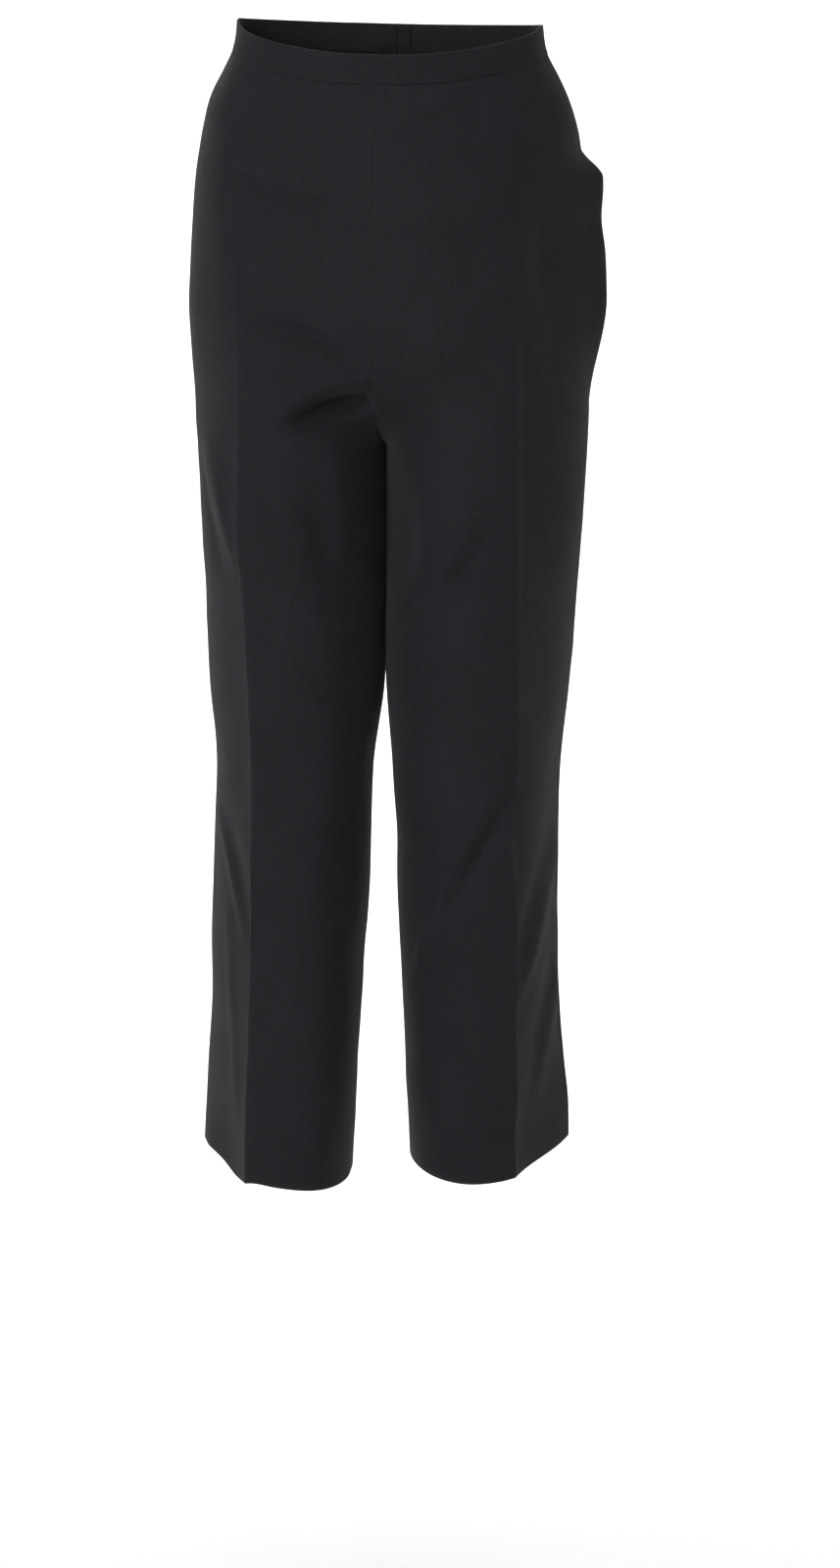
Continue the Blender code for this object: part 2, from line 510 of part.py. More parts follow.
def make_bands(finish):
    right = band_grid("right", "front", True, False)
    left = band_grid("left", "front", True, False)
    joined = [np.concatenate([a, b[:, -2::-1]], axis=1) for a, b in zip(right, left)]
    wall("waistband_front", joined[0], joined[1], finish)
    for side in ("left", "right"):
        outer, inner = band_grid(side, "back", True, True)
        wall("waistband_back_" + side, outer, inner, finish)


def round_surface(side, level, u, reach):
    """Unbowed cloth seen from inside, moved in by reach. Below 0, u runs back from the side seam."""
    grids = []
    for face, part in (("back", u < 0), ("front", u >= 0)):
        ways = np.abs(u[part])
        points = surface(side, face, level, ways, False)
        grids.append(points - outward(side, face, level, ways, False) * reach[:, part, None])
    return np.concatenate(grids, axis=1)


def make_bag(side, finish):
    levels = np.linspace(BAG_TOP, BAG_BOTTOM, BAG_ROWS)
    u = np.linspace(BAG_BACK, BAG_FRONT, BAG_COLUMNS)
    down = np.linspace(0, 1, len(levels))[:, None]
    across = np.linspace(0, 1, len(u))[None, :]
    down_fade, across_fade = (ease(np.minimum(way, 1 - way) / BAG_EDGE_FADE) for way in (down, across))
    reach = WALL + BAG_SEAT + BAG_FULLNESS * down_fade * across_fade
    outer = round_surface(side, levels, u, reach)
    inner = round_surface(side, levels, u, reach + BAG_WALL)
    return wall("pocket_bag_" + side, outer, inner, finish)


def solid(name, parts, finish):
    """One closed object from meshes that overlap, joined by exact Booleans."""
    base = parts[0]
    base.name = name
    base.data.materials.append(finish)
    for other in parts[1:]:
        join = base.modifiers.new("join", "BOOLEAN")
        join.operation = "UNION"
        join.object = other
        other.hide_render = True
        other.display_type = "WIRE"
    return base


def box(name, low, high):
    ends = (low, high)
    points = [(ends[i][0], ends[j][1], ends[k][2]) for i in (0, 1) for j in (0, 1) for k in (0, 1)]
    faces = [(0, 1, 3, 2), (4, 6, 7, 5), (0, 4, 5, 1), (2, 3, 7, 6), (0, 2, 6, 4), (1, 5, 7, 3)]
    mesh = bpy.data.meshes.new(name)
    mesh.from_pydata(points, [], faces)
    made = bpy.data.objects.new(name, mesh)
    bpy.context.scene.collection.objects.link(made)
    return made


def ring_along_x(name, half, outer_radius, inner_radius=0.0):
    """A round bar, or a tube, centred on the X axis."""
    turns = [2 * math.pi * k / ROUND_SIDES for k in range(ROUND_SIDES)]
    points = []
    for radius in (outer_radius, inner_radius) if inner_radius else (outer_radius,):
        for x in (-half, half):
            points += [(x, radius * math.cos(a), radius * math.sin(a)) for a in turns]
    n = ROUND_SIDES
    after = [(k + 1) % n for k in range(n)]
    faces = [(k, after[k], n + after[k], n + k) for k in range(n)]
    if inner_radius:
        faces += [(3 * n + k, 3 * n + after[k], 2 * n + after[k], 2 * n + k) for k in range(n)]
        faces += [(2 * n + k, 2 * n + after[k], after[k], k) for k in range(n)]
        faces += [(n + k, n + after[k], 3 * n + after[k], 3 * n + k) for k in range(n)]
    else:
        faces += [tuple(reversed(range(n))), tuple(range(n, 2 * n))]
    mesh = bpy.data.meshes.new(name)
    mesh.from_pydata(points, [], faces)
    if mesh_volume(mesh) < 0:
        mesh.flip_normals()
    made = bpy.data.objects.new(name, mesh)
    bpy.context.scene.collection.objects.link(made)
    return made


def mesh_volume(mesh):
    mesh.calc_loop_triangles()
    total = 0.0
    for triangle in mesh.loop_triangles:
        a, b, c = (mesh.vertices[k].co for k in triangle.vertices)
        total += a.dot(b.cross(c))
    return total


def tab(name, finish):
    """The pull: a flat tab with a rounded foot, hanging from the middle of its own X axis."""
    neck = PULL_NECK / 2
    wide = PULL_WIDTH / 2
    outline = [(-neck, -KNUCKLE_BORE), (-neck, -PULL_NECK_END), (-wide, -PULL_SHOULDER)]
    foot = -(PULL_LENGTH - wide)
    outline += [(-wide * math.cos(a), foot - wide * math.sin(a)) for a in np.radians(range(0, 181, 20))]
    outline += [(wide, -PULL_SHOULDER), (neck, -PULL_NECK_END), (neck, -KNUCKLE_BORE)]
    n = len(outline)
    half = PULL_THICK / 2
    points = [(x, y, z) for y in (-half, half) for x, z in outline]
    faces = [tuple(range(n)), tuple(reversed(range(n, 2 * n)))]
    faces += [(k, k + n, (k + 1) % n + n, (k + 1) % n) for k in range(n)]
    mesh = bpy.data.meshes.new(name)
    mesh.from_pydata(points, [], faces)
    if mesh_volume(mesh) < 0:
        mesh.flip_normals()
    made = bpy.data.objects.new(name, mesh)
    bpy.context.scene.collection.objects.link(made)
    knuckle = ring_along_x(name + "_knuckle", KNUCKLE_HALF, KNUCKLE_RADIUS, KNUCKLE_BORE)
    return solid(name, [made, knuckle], finish)


def make_zip(finish):
    """The slider lies on the cloth at the centre back. The pull hangs from its pin and rests on the cloth."""
    seat, below = surface("left", "back", [ZIP_LEVEL, ZIP_LEVEL - PULL_LENGTH], [2.0])[:, 0]
    slope = math.atan2(below[1] - seat[1], seat[2] - below[2])
    outward_way = np.array([0.0, math.cos(slope), math.sin(slope)])
    plate_low = SEAM_GAP
    plate_high = plate_low + SLIDER_THICK
    pin_rise = plate_high + PIVOT_RISE
    half = SLIDER_WIDTH / 2
    long = SLIDER_LENGTH / 2
    parts = [box("zip_plate", (-half, plate_low, -long), (half, plate_high, long))]
    for sign in (-1, 1):
        sides = sorted((sign * CHEEK_INSIDE, sign * (CHEEK_INSIDE + CHEEK_THICK)))
        low = (sides[0], plate_high - CHEEK_ROOT, -CHEEK_LENGTH / 2)
        high = (sides[1], pin_rise + CHEEK_ABOVE_PIN, CHEEK_LENGTH / 2)
        parts.append(box("zip_cheek", low, high))
    pin = ring_along_x("zip_pin", CHEEK_INSIDE + CHEEK_THICK / 2, PIN_RADIUS)
    pin.location = (0.0, pin_rise, 0.0)
    parts.append(pin)
    frame = bpy.data.objects.new("zip_frame", None)
    bpy.context.scene.collection.objects.link(frame)
    frame.location = (0.0, seat[1], seat[2])
    frame.rotation_euler = (slope, 0.0, 0.0)
    for part in parts:
        part.parent = frame
    solid("zip_slider", parts, finish)
    pull = tab("zip_pull", finish)
    pivot = np.array([0.0, seat[1], seat[2]]) + outward_way * pin_rise
    lean = math.atan2(pin_rise - PULL_THICK / 2 - PULL_REST_GAP, PULL_LENGTH)
    pull.location = tuple(float(c) for c in pivot)
    pull.rotation_euler = (slope - lean, 0.0, 0.0)
    pull.modifiers[0].object.parent = pull


def main():
    for old in list(bpy.data.objects):
        bpy.data.objects.remove(old, do_unlink=True)
    cloth = material("black_suiting", CLOTH_BLACK, 0.85)
    bag = material("pocketing", BAG_BLACK, 0.90)
    metal = material("zip_black", ZIP_BLACK, 0.35, 0.6)
    for side in ("left", "right"):
        for face in ("front", "back"):
            make_panel(side, face, cloth)
        make_bag(side, bag)
    make_bands(cloth)
    make_zip(metal)


main()
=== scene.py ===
import math

import bmesh
import bpy
import numpy as np
from mathutils import Matrix, Vector


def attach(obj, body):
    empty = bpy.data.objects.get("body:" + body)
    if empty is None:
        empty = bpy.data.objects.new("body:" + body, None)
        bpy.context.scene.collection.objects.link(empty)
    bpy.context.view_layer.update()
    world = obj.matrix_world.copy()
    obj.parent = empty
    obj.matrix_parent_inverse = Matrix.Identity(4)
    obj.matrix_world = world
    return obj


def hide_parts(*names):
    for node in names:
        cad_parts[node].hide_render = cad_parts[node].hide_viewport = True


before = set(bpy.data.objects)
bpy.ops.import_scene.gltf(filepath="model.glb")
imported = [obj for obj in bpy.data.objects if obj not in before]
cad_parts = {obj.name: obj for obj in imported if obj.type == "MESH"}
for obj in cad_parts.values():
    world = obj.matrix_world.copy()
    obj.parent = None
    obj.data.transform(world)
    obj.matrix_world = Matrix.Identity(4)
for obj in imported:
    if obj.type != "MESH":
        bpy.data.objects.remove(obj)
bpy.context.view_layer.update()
scene = bpy.context.scene
print("stage 1: the packed model is in")


# Camera; the light and floor come with the studio below.
camera = {
    "turn": 5.0,              # degrees to the viewer's right of straight on
    "dip": 12.307,            # degrees downwards
    "distance": 3.6,
    "height": 0.20,
    "shift": 0.026625,        # along the picture, so that the trousers stand left of its middle
    "sensor": 36.0,
    "lens": 106.85,
}


def makeCamera():
    turn = math.radians(camera["turn"])
    dip = math.radians(camera["dip"])
    right = Vector((math.cos(turn), math.sin(turn), 0))
    ahead = Vector((-math.sin(turn), math.cos(turn), 0))
    data = bpy.data.cameras.new("frontCamera")
    data.sensor_fit = "VERTICAL"
    data.sensor_height = camera["sensor"]
    data.lens = camera["lens"]
    made = bpy.data.objects.new("frontCamera", data)
    made.location = -camera["distance"] * ahead + right * camera["shift"] + Vector((0, 0, camera["height"]))
    made.rotation_euler = (math.pi / 2 - dip, 0, turn)
    scene.collection.objects.link(made)
    scene.camera = made


makeCamera()


# The cut.
# The trousers stand as worn: front towards -Y, the wearer's left towards +X, the waist at the origin.
cut = {
    "seamGap": 0.0003,
    "seamMeet": 0.00016,      # how far an edge is drawn out to meet the next one
    "cloth": 0.0010,          # what the eye takes for the cloth's thickness at a folded edge
    "hemCloth": 0.0022,
    "hemDepth": 0.035,
    "hemLevel": -0.886,
    "crotchLevel": -0.312,
    "crotchY": 0.012,
    "curveStart": -0.195,
    "crotchClearance": -0.0001,    # the legs meet here and lie this much over each other
    "inseamStart": 0.004,
    "arcFullness": 0.38,
    "backFullness": 0.42,
    "foldEdgeFade": 0.16,
    "arcSteps": 41,
    "cutOffHold": 0.85,
    "roundFrom": 0.15,
    "roundSpan": 0.80,
    "edgeRoll": 0.00070,      # radius at which the cloth turns in at the band and its ends
    "seamRoll": 0.00060,      # and at a long seam
}
hemRise = {"right": (-0.0085, -0.0010, 0.0025), "left": (-0.0010, -0.0045, 0.0030)}   # inner, middle, outer
hemRiseReach = {"inner": 0.025, "outer": 0.145, "top": -0.740}
hemDroop = {"right": -0.0058, "left": 0.0, "x": 0.114, "width": 0.013}      # lower still by the crease
band = {
    "height": 0.0225,
    "thick": 0.0026,
    "frontDip": 0.020,
    "backDip": 0.006,
    "sideTilt": 0.002,
    "halfWidth": 0.115,
    "softness": 0.12,
    "proud": 0.0003,
    "fadeLevel": -0.150,
}
pocket = {
    "top": -0.082,
    "bottom": -0.245,
    "rise": 0.024,
    "bulgeEnd": -0.195,
    "bulgeFall": 0.090,
    "dent": 0.16,
    "dentLevel": -0.138,
    "dentSpan": 0.018,
    "reach": 0.50,
}
pocketLips = {                # front bow, back bow and parting of each side's mouth
    "left": (0.0165, 0.0050, 0.0075),
    "right": (0.0010, 0.0006, 0.0007),
}

# The tables that follow give lengths in millimetres and headings in degrees.
# Where the centre front and centre back stand above the crotch curve: height, front y, back y.
centreRows = (
    (20, -83.5, 85),
    (-11.5, -85, 86),
    (-45, -93, 92.5),
    (-85, -104, 101),
    (-130, -113, 110),
    (-175, -117.5, 115),
    (-215, -118, 114),
)

# One row for each height: what both legs share, then the right leg and the left. x grows away from the
# centre plane.
sharedColumns = ("z", "backTilt", "backKink")
sideColumns = (
    "sideX", "sideY", "lean", "frontX", "frontY", "frontTilt", "frontKink", "frontFullness",
    "backX", "backY", "innerX", "innerY",
)
sideRows = (
    (20, 34, 0, (113, 4, 0, 77, -60, 35, 0, 0.52, 75, 62, 0, 0),
     (119.5, 4, 0, 78, -60, 35, 0, 0.52, 76, 62, 0, 0)),
    (-11.5, 34, 0, (117.5, 4, 0, 80, -61, 35, 0, 0.52, 77, 64, 0, 0),
     (124.5, 4, 0, 81, -61, 35, 0, 0.52, 78, 64, 0, 0)),
    (-27, 34, 0, (125, 5, 0, 85, -65, 35, 0, 0.52, 81, 69, 0, 0),
     (132.5, 5, 0, 87, -65, 35, 0, 0.52, 82, 69, 0, 0)),
    (-45, 34, 0, (134.5, 6, 0, 90, -70, 36, 0, 0.52, 85, 75, 0, 0),
     (140.5, 6, 0, 92, -70, 36, 0, 0.52, 86, 75, 0, 0)),
    (-70, 34, 0, (141.5, 7, 0, 96, -77, 36, 0, 0.52, 89, 85, 0, 0),
     (148, 7, 0, 98, -77, 36, 0, 0.52, 90, 85, 0, 0)),
    (-107, 33, 0, (147, 8, 0, 101, -83, 38, 4, 0.52, 92, 95, 0, 0),
     (151.5, 8, 0, 104, -83, 38, 4, 0.52, 93, 95, 0, 0)),
    (-152, 32, 0, (150.5, 9, 0, 104, -87, 38, 8, 0.52, 94, 104, 0, 0),
     (153.5, 9, 0, 108, -86, 38, 8, 0.52, 95, 104, 0, 0)),
    (-200, 33, 6, (152, 10, 0, 105, -90, 38, 12, 0.52, 95, 108, 0, 0),
     (155, 11, 0, 110, -88, 38, 12, 0.52, 96, 108, 0, 0)),
    (-243, 34, 12, (152, 10, 0, 105, -93, 41, 16, 0.52, 95, 106, 0, 0),
     (157, 12, 0, 111, -89, 41, 14, 0.52, 96, 106, 0, 0)),
    (-289, 35, 18, (149.5, 10, 0, 105, -94, 43, 20, 0.52, 94, 101, 0.2, 12),
     (157.5, 14, 0, 111, -89, 44, 18, 0.52, 96, 102, 0.2, 12)),
    (-335, 40, 18, (147.5, 10, 0, 105, -94, 44, 22, 0.52, 93, 95, 0.2, 12),
     (155.5, 16, 0, 111, -88, 45, 20, 0.52, 95, 97, 0.2, 12)),
    (-381, 40, 20, (145.5, 10, 2, 105, -93, 44, 26, 0.54, 92, 88, 0.2, 8),
     (152.5, 17, 2, 111, -87, 46, 22, 0.53, 94, 92, 0.2, 8)),
    (-428, 40, 22, (143.5, 10, 4, 102, -93, 44, 28, 0.54, 90, 81, 0.2, 4),
     (149, 18, 4, 111, -86, 46, 24, 0.53, 92, 87, 0.2, 4)),
    (-500, 40, 26, (141, 9, 6, 98, -93, 44, 31, 0.54, 86, 74, 1.2, 1),
     (143.5, 20, 6, 112, -84, 46, 27, 0.52, 89, 83, 0.4, 1)),
    (-570, 39, 32, (136.2, 8, 8, 97, -93, 41, 36, 0.54, 83, 69, 10, -4),
     (136.5, 22, 8, 111, -82, 45, 30, 0.52, 85, 81, 5.5, 2)),
    (-617, 40, 32, (138, 8, 9, 98, -93, 42, 38, 0.55, 82, 66, 11.5, -5),
     (134.5, 24, 10, 108, -80, 47, 31, 0.52, 83, 80, 8.5, 2)),
    (-665, 40, 32, (139.8, 8, 10, 99, -93, 43, 38, 0.56, 82, 63, 12.8, -6),
     (133.5, 26, 12, 108, -78, 49, 32, 0.52, 82, 79, 8.8, 2)),
    (-713, 40, 32, (141.6, 8, 11, 99, -93, 44, 38, 0.57, 83, 60, 16.8, -7),
     (134.5, 28, 14, 109, -75, 51, 33, 0.53, 82, 78, 11.8, 2)),
    (-762, 40, 32, (141.5, 8, 12, 100, -93, 46, 38, 0.59, 84, 57, 19.2, -14),
     (135.5, 30, 15, 110, -72, 53, 34, 0.54, 82, 77, 13.3, 3)),
    (-811, 40, 32, (144.6, 8, 14, 102, -94.5, 48, 38, 0.61, 86, 54, 22.2, -20),
     (138.5, 33, 16, 110, -68, 56, 35, 0.55, 83, 76, 15.5, 4)),
    (-860, 40, 32, (147, 7, 16, 103, -96.5, 52, 38, 0.64, 88, 51.5, 24.6, -26),
     (143, 35, 18, 109, -64, 58, 36, 0.55, 84, 75, 17.5, 5)),
    (-890, 40, 32, (148.8, 7, 16, 103, -97, 53, 38, 0.62, 89, 50, 25.6, -30),
     (143.5, 36, 15, 108, -62, 60, 36, 0.54, 84, 74, 18.5, 5)),
)

# The large folds of the cut cloth, by panel: three places seen square on that shape its line, width, height.
largeFolds = {
    "frontRight": (
        (101, -98, 66, -108, 31, -122, 18, -2.8),
        (78, -213, 42, -208, 4, -246, 15, -5),
        (88, -186, 48, -182, 12, -212, 17, 3),
        (64, -290, 34, -276, 6, -272, 13, -10),
        (80, -262, 42, -250, 12, -252, 13, 3.4),
        (50, -320, 36, -380, 26, -450, 20, -6),
        (130, -300, 125, -345, 108, -392, 13, 3.4),
        (122, -600, 114, -650, 102, -695, 15, -3),
    ),
    "frontLeft": (
        (10, -56, 32, -42, 56, -28, 12, 2),
        (132, -90, 130, -150, 138, -240, 18, -7),
        (78, -376, 62, -404, 40, -430, 17, -4),
        (48, -300, 52, -350, 46, -410, 20, 3),
        (16, -345, 13, -385, 16, -425, 18, -7.5),
        (107, -572, 85, -622, 56, -664, 16, -4.6),
        (52, -650, 40, -700, 30, -728, 13, 3.4),
        (136, -590, 124, -665, 110, -738, 13, 3),
        (136, -680, 129, -750, 122, -824, 12, 2.6),
    ),
    "backRight": (
        (20, -256, 58, -280, 104, -266, 15, -5.2),
        (14, -318, 52, -348, 98, -346, 16, -5.4),
        (122, -556, 85, -592, 45, -588, 17, -4.6),
        (112, -620, 80, -652, 40, -694, 16, 3.6),
    ),
    "backLeft": (
        (22, -250, 62, -273, 108, -258, 15, -4.8),
        (14, -322, 54, -354, 102, -357, 16, -5.6),
        (120, -572, 82, -612, 42, -604, 17, -4.8),
        (114, -646, 82, -674, 40, -718, 16, 3.6),
    ),
}

# Lighter creases over them, given the same way: the troughs and ridges that only a near look shows.
fineCreases = {
    "frontRight": (
        (112, -50, 84, -52, 52, -46, 10, -0.7),
        (108, -94, 70, -114, 24, -124, 6.8, -3.6),
        (98, -84, 66, -100, 26, -110, 7, 2.4),
        (112, -148, 88, -156, 64, -160, 14, -0.6),
        (86, -216, 44, -203, -2, -249, 8, -7.6),
        (88, -196, 46, -180, 4, -222, 9, 2.2),
        (104, -224, 86, -218, 66, -222, 10, -0.8),
        (62, -275, 26, -247, -30, -254.5, 6.6, 4.4),
        (64, -289, 28, -263, -30, -270, 8.2, -10.8),
        (34, -271, 16, -267, 0, -268, 8, -6.6),
        (70, -296, 52, -296, 36, -288, 7, 1.1),
        (28, -300, 25, -340, 22, -390, 9, 3),
        (1, -380, 8, -388, 20, -391, 5, -2.6),
        (66, -318, 58, -372, 52, -432, 12, 1.1),
        (140, -312, 134, -356, 122, -402, 5, -2),
        (122, -332, 116, -368, 108, -398, 4, 1.6),
        (134, -420, 128, -472, 118, -530, 10, 0.8),
        (94, -440, 88, -490, 86, -540, 13, 0.8),
        (72, -520, 66, -565, 64, -606, 12, 0.6),
        (131, -602, 120, -640, 105, -692, 4.6, 3),
        (121, -604, 109, -640, 98, -680, 7.5, -1.2),
        (122, -664, 116, -748, 112, -836, 4, 1.3),
        (24, -622, 16, -648, 13, -676, 5, 2.2),
        (34, -640, 46, -676, 52, -712, 12, -0.6),
        (74, -700, 66, -752, 70, -800, 18, -0.5),
    ),
    "frontLeft": (
        (14, -56, 38, -44, 74, -30, 6.2, -3.6),
        (8, -68, 32, -55, 66, -42, 7, 2.4),
        (104, -60, 98, -88, 84, -112, 12, 0.8),
        (44, -206, 68, -204, 92, -216, 11, -1),
        (8, -196, 18, -182, 36, -172, 10, 0.6),
        (12, -246, 36, -238, 64, -240, 12, 0.8),
        (76, -244, 92, -256, 104, -280, 10, -0.7),
        (10, -276, 28, -286, 46, -306, 10, -0.8),
        (66, -330, 74, -352, 84, -382, 10, 1),
        (86, -372, 68, -400, 46, -424, 6, -3),
        (74, -366, 58, -390, 38, -410, 6.5, 2.2),
        (30, -418, 24, -436, 12, -450, 4.5, -2.6),
        (122, -440, 128, -494, 124, -552, 10, -0.9),
        (64, -480, 72, -530, 90, -572, 14, 0.9),
        (107, -572, 85, -622, 56, -662, 6.5, -4.2),
        (96, -568, 74, -612, 48, -646, 7, 2.6),
        (30, -560, 38, -592, 52, -616, 11, -0.6),
        (54, -648, 38, -694, 28, -732, 4.2, 3.6),
        (60, -668, 48, -704, 40, -742, 6, -2),
        (140, -596, 128, -655, 111, -738, 3.8, 2.7),
        (133, -600, 119, -660, 104, -720, 5, -2.4),
        (140, -680, 133, -750, 122, -826, 3.8, 2.6),
        (133, -700, 125, -764, 116, -838, 5, -2),
        (22, -716, 28, -752, 28, -800, 7, 0.8),
    ),
    "backRight": (
        (88, -52, 56, -62, 16, -56, 12, -1),
        (12, -150, 30, -178, 36, -214, 10, 1),
        (14, -228, 50, -250, 92, -246, 9, 1.4),
        (30, -262, 64, -284, 100, -272, 6, -1.8),
        (112, -268, 124, -284, 136, -310, 9, -1.2),
        (10, -290, 40, -312, 80, -318, 7, 1.3),
        (18, -324, 54, -352, 92, -350, 6, -1.7),
        (24, -366, 60, -396, 100, -402, 10, 1.2),
        (80, -412, 90, -452, 98, -500, 12, -1),
        (118, -530, 82, -560, 50, -552, 9, 1.3),
        (114, -560, 84, -590, 50, -586, 6, -1.6),
        (124, -598, 96, -618, 58, -622, 8, -1.3),
        (60, -700, 70, -760, 64, -820, 14, 0.9),
    ),
    "backLeft": (
        (90, -56, 60, -66, 20, -62, 13, -0.9),
        (10, -164, 26, -188, 34, -226, 10, 0.9),
        (18, -222, 56, -242, 98, -236, 10, 1.3),
        (34, -258, 68, -276, 104, -262, 6, -1.7),
        (118, -262, 130, -282, 140, -316, 10, -1.3),
        (12, -296, 44, -320, 86, -326, 8, 1.4),
        (20, -330, 56, -358, 96, -360, 6, -1.6),
        (18, -380, 56, -404, 104, -416, 11, 1.1),
        (74, -430, 86, -470, 96, -520, 12, -0.9),
        (116, -546, 80, -580, 46, -570, 9, 1.3),
        (112, -578, 82, -614, 48, -606, 6, -1.6),
        (122, -618, 94, -640, 56, -648, 8, -1.2),
        (52, -720, 64, -772, 62, -838, 14, 1),
    ),
}

foldSet = {
    "pieces": 14,             # straight pieces in each fold's line
    "reach": 3.2,             # widths at which a fold has died out
    "endShare": 0.35,         # of its height left at its ends
    "edgeFade": 0.066,        # how near a seam a fine crease runs, in u
    "legsFrom": -0.282,
    "legsSpan": 0.028,
    "innerFrom": 1.35,
    "innerSpan": 0.30,
    "under": 0.0038,
    "underWidth": 0.0105,
    "underTop": -0.246,
    "underFoot": -0.450,
    "underIn": 0.020,
    "underOut": 0.060,
}


def ease(value):
    part = np.clip(value, 0.0, 1.0)
    return part * part * (3.0 - 2.0 * part)


def table(columns, rows):
    units = [1000 if name[-1] in "XYz" else 1 for name in columns]
    return {name: np.array([row[k] for row in rows], float) / units[k] for k, name in enumerate(columns)}


centre = table(("z", "frontY", "backY"), centreRows)
sides = {side: table(sharedColumns + sideColumns, [row[:3] + row[3 + k] for row in sideRows])
         for k, side in enumerate(("right", "left"))}


def along(rows, name, level):       # a column read at any height, on one smooth curve through its rows
    heights = rows["z"][::-1]
    values = rows[name][::-1]
    slopes = np.gradient(values, heights)
    k = np.clip(np.searchsorted(heights, level) - 1, 0, len(heights) - 2)
    span = heights[k + 1] - heights[k]
    t = np.clip((level - heights[k]) / span, 0.0, 1.0)
    start = values[k] * (1 + 2 * t) * (1 - t) ** 2 + slopes[k] * span * t * (1 - t) ** 2
    end = values[k + 1] * t * t * (3 - 2 * t) + slopes[k + 1] * span * t * t * (t - 1)
    return start + end


def crotchTurn(level):
    return np.clip((cut["curveStart"] - level) / (cut["curveStart"] - cut["crotchLevel"]), 0.0, 1.0)


def innerEdge(side, face, level):   # the centre seam above the crotch, the inseam below it
    turn = crotchTurn(level)
    bend = 1.0 - np.sqrt(1.0 - turn * turn)
    straight = along(centre, face + "Y", np.maximum(level, cut["curveStart"]))
    trunkY = straight + (cut["crotchY"] - straight) * bend
    below = ease((cut["crotchLevel"] - level) / cut["inseamStart"])
    clear = cut["crotchClearance"]
    x = clear * turn + (along(sides[side], "innerX", level) - clear) * below
    y = np.where(level < cut["crotchLevel"], along(sides[side], "innerY", level), trunkY)
    return np.maximum(x, clear * turn), y


def quarter(start, startWay, end, endWay, fullness, t):     # one cubic arc for each height, and its headings
    reach = fullness * np.hypot(end[0] - start[0], end[1] - start[1])
    points = []
    headings = []
    for axis in (0, 1):
        a = start[axis][:, None]
        b = (start[axis] + reach * startWay[axis])[:, None]
        c = (end[axis] - reach * endWay[axis])[:, None]
        d = end[axis][:, None]
        points.append(a * (1 - t) ** 3 + 3 * b * t * (1 - t) ** 2 + 3 * c * t * t * (1 - t) + d * t ** 3)
        headings.append(3 * ((b - a) * (1 - t) ** 2 + 2 * (c - b) * t * (1 - t) + (d - c) * t * t))
    return points, headings


def innerQuarter(face, level, crease, fromCrease, inner, full, t):
    # Above the crotch curve the cloth runs straight to the centre seam, below it rounds into the inseam,
    # and along the curve it is the leg's round, cut off at the centre seam.
    backWay = 1.0 if face == "front" else -1.0
    ones = np.ones_like(level)
    legWay = (0 * ones, backWay * ones)
    across, acrossHeading = quarter(crease, fromCrease, inner, (-ones, 0 * ones), cut["arcFullness"], t)
    legEnd = (inner[0], np.where(level < cut["crotchLevel"], inner[1], cut["crotchY"]))
    steps = np.linspace(0.0, 1.0, cut["arcSteps"])[None, :]
    leg, _ = quarter(crease, fromCrease, legEnd, legWay, full, steps)
    cutOff = np.ones_like(level)
    for k in range(len(level)):
        first = int(np.argmin(leg[1][k] * backWay))
        run = leg[1][k, first:] * backWay
        cutOff[k] = np.interp(inner[1][k] * backWay, run, steps[0, first:])
    cutOff = cutOff[:, None]
    hold = np.clip(cut["cutOffHold"] / np.maximum(1 - cutOff, 0.01), 1.0, 3.0)
    place = t - (1 - cutOff) * t ** hold
    pace = 1 - (1 - cutOff) * hold * t ** (hold - 1)
    bent, bentHeading = quarter(crease, fromCrease, legEnd, legWay, full, place)
    rounded = ease((crotchTurn(level) - cut["roundFrom"]) / cut["roundSpan"])[:, None]
    points = [(1 - rounded) * across[k] + rounded * bent[k] for k in (0, 1)]
    headings = [(1 - rounded) * acrossHeading[k] + rounded * pace * bentHeading[k] for k in (0, 1)]
    ends = quarter(crease, fromCrease, legEnd, legWay, full, cutOff)[0]
    miss = [rounded * (inner[k][:, None] - ends[k]) for k in (0, 1)]
    points = [points[k] + miss[k] * t ** 3 for k in (0, 1)]
    headings = [headings[k] + 3 * miss[k] * t * t for k in (0, 1)]
    return points, headings


def section(side, face, level, u):  # u is 0 at the side seam, 1 at the crease, 2 at the middle
    rows = sides[side]
    toFace = -1.0 if face == "front" else 1.0
    lean = np.radians(along(rows, "lean", level)) * -toFace
    tilt = np.radians(along(rows, face + "Tilt", level))
    kink = np.radians(along(rows, face + "Kink", level)) / 2
    seam = (along(rows, "sideX", level), along(rows, "sideY", level))
    crease = (along(rows, face + "X", level), along(rows, face + "Y", level))
    inner = innerEdge(side, face, level)
    full = np.full_like(level, cut["backFullness"])
    if face == "front":
        full = along(rows, "frontFullness", level)
    seamWay = (-np.sin(lean), toFace * np.cos(lean))
    toCrease = (-np.cos(tilt + kink), toFace * np.sin(tilt + kink))
    fromCrease = (-np.cos(tilt - kink), toFace * np.sin(tilt - kink))
    outer, outerHeading = quarter(seam, seamWay, crease, toCrease, cut["arcFullness"], np.clip(u, 0, 1))
    inside, insideHeading = innerQuarter(face, level, crease, fromCrease, inner, full, np.clip(u - 1, 0, 1))
    x, y = (np.where(u <= 1, outer[k], inside[k]) for k in (0, 1))
    alongX, alongY = (np.where(u <= 1, outerHeading[k], insideHeading[k]) for k in (0, 1))
    length = np.hypot(alongX, alongY)
    return x, y, toFace * alongY / length, -toFace * alongX / length


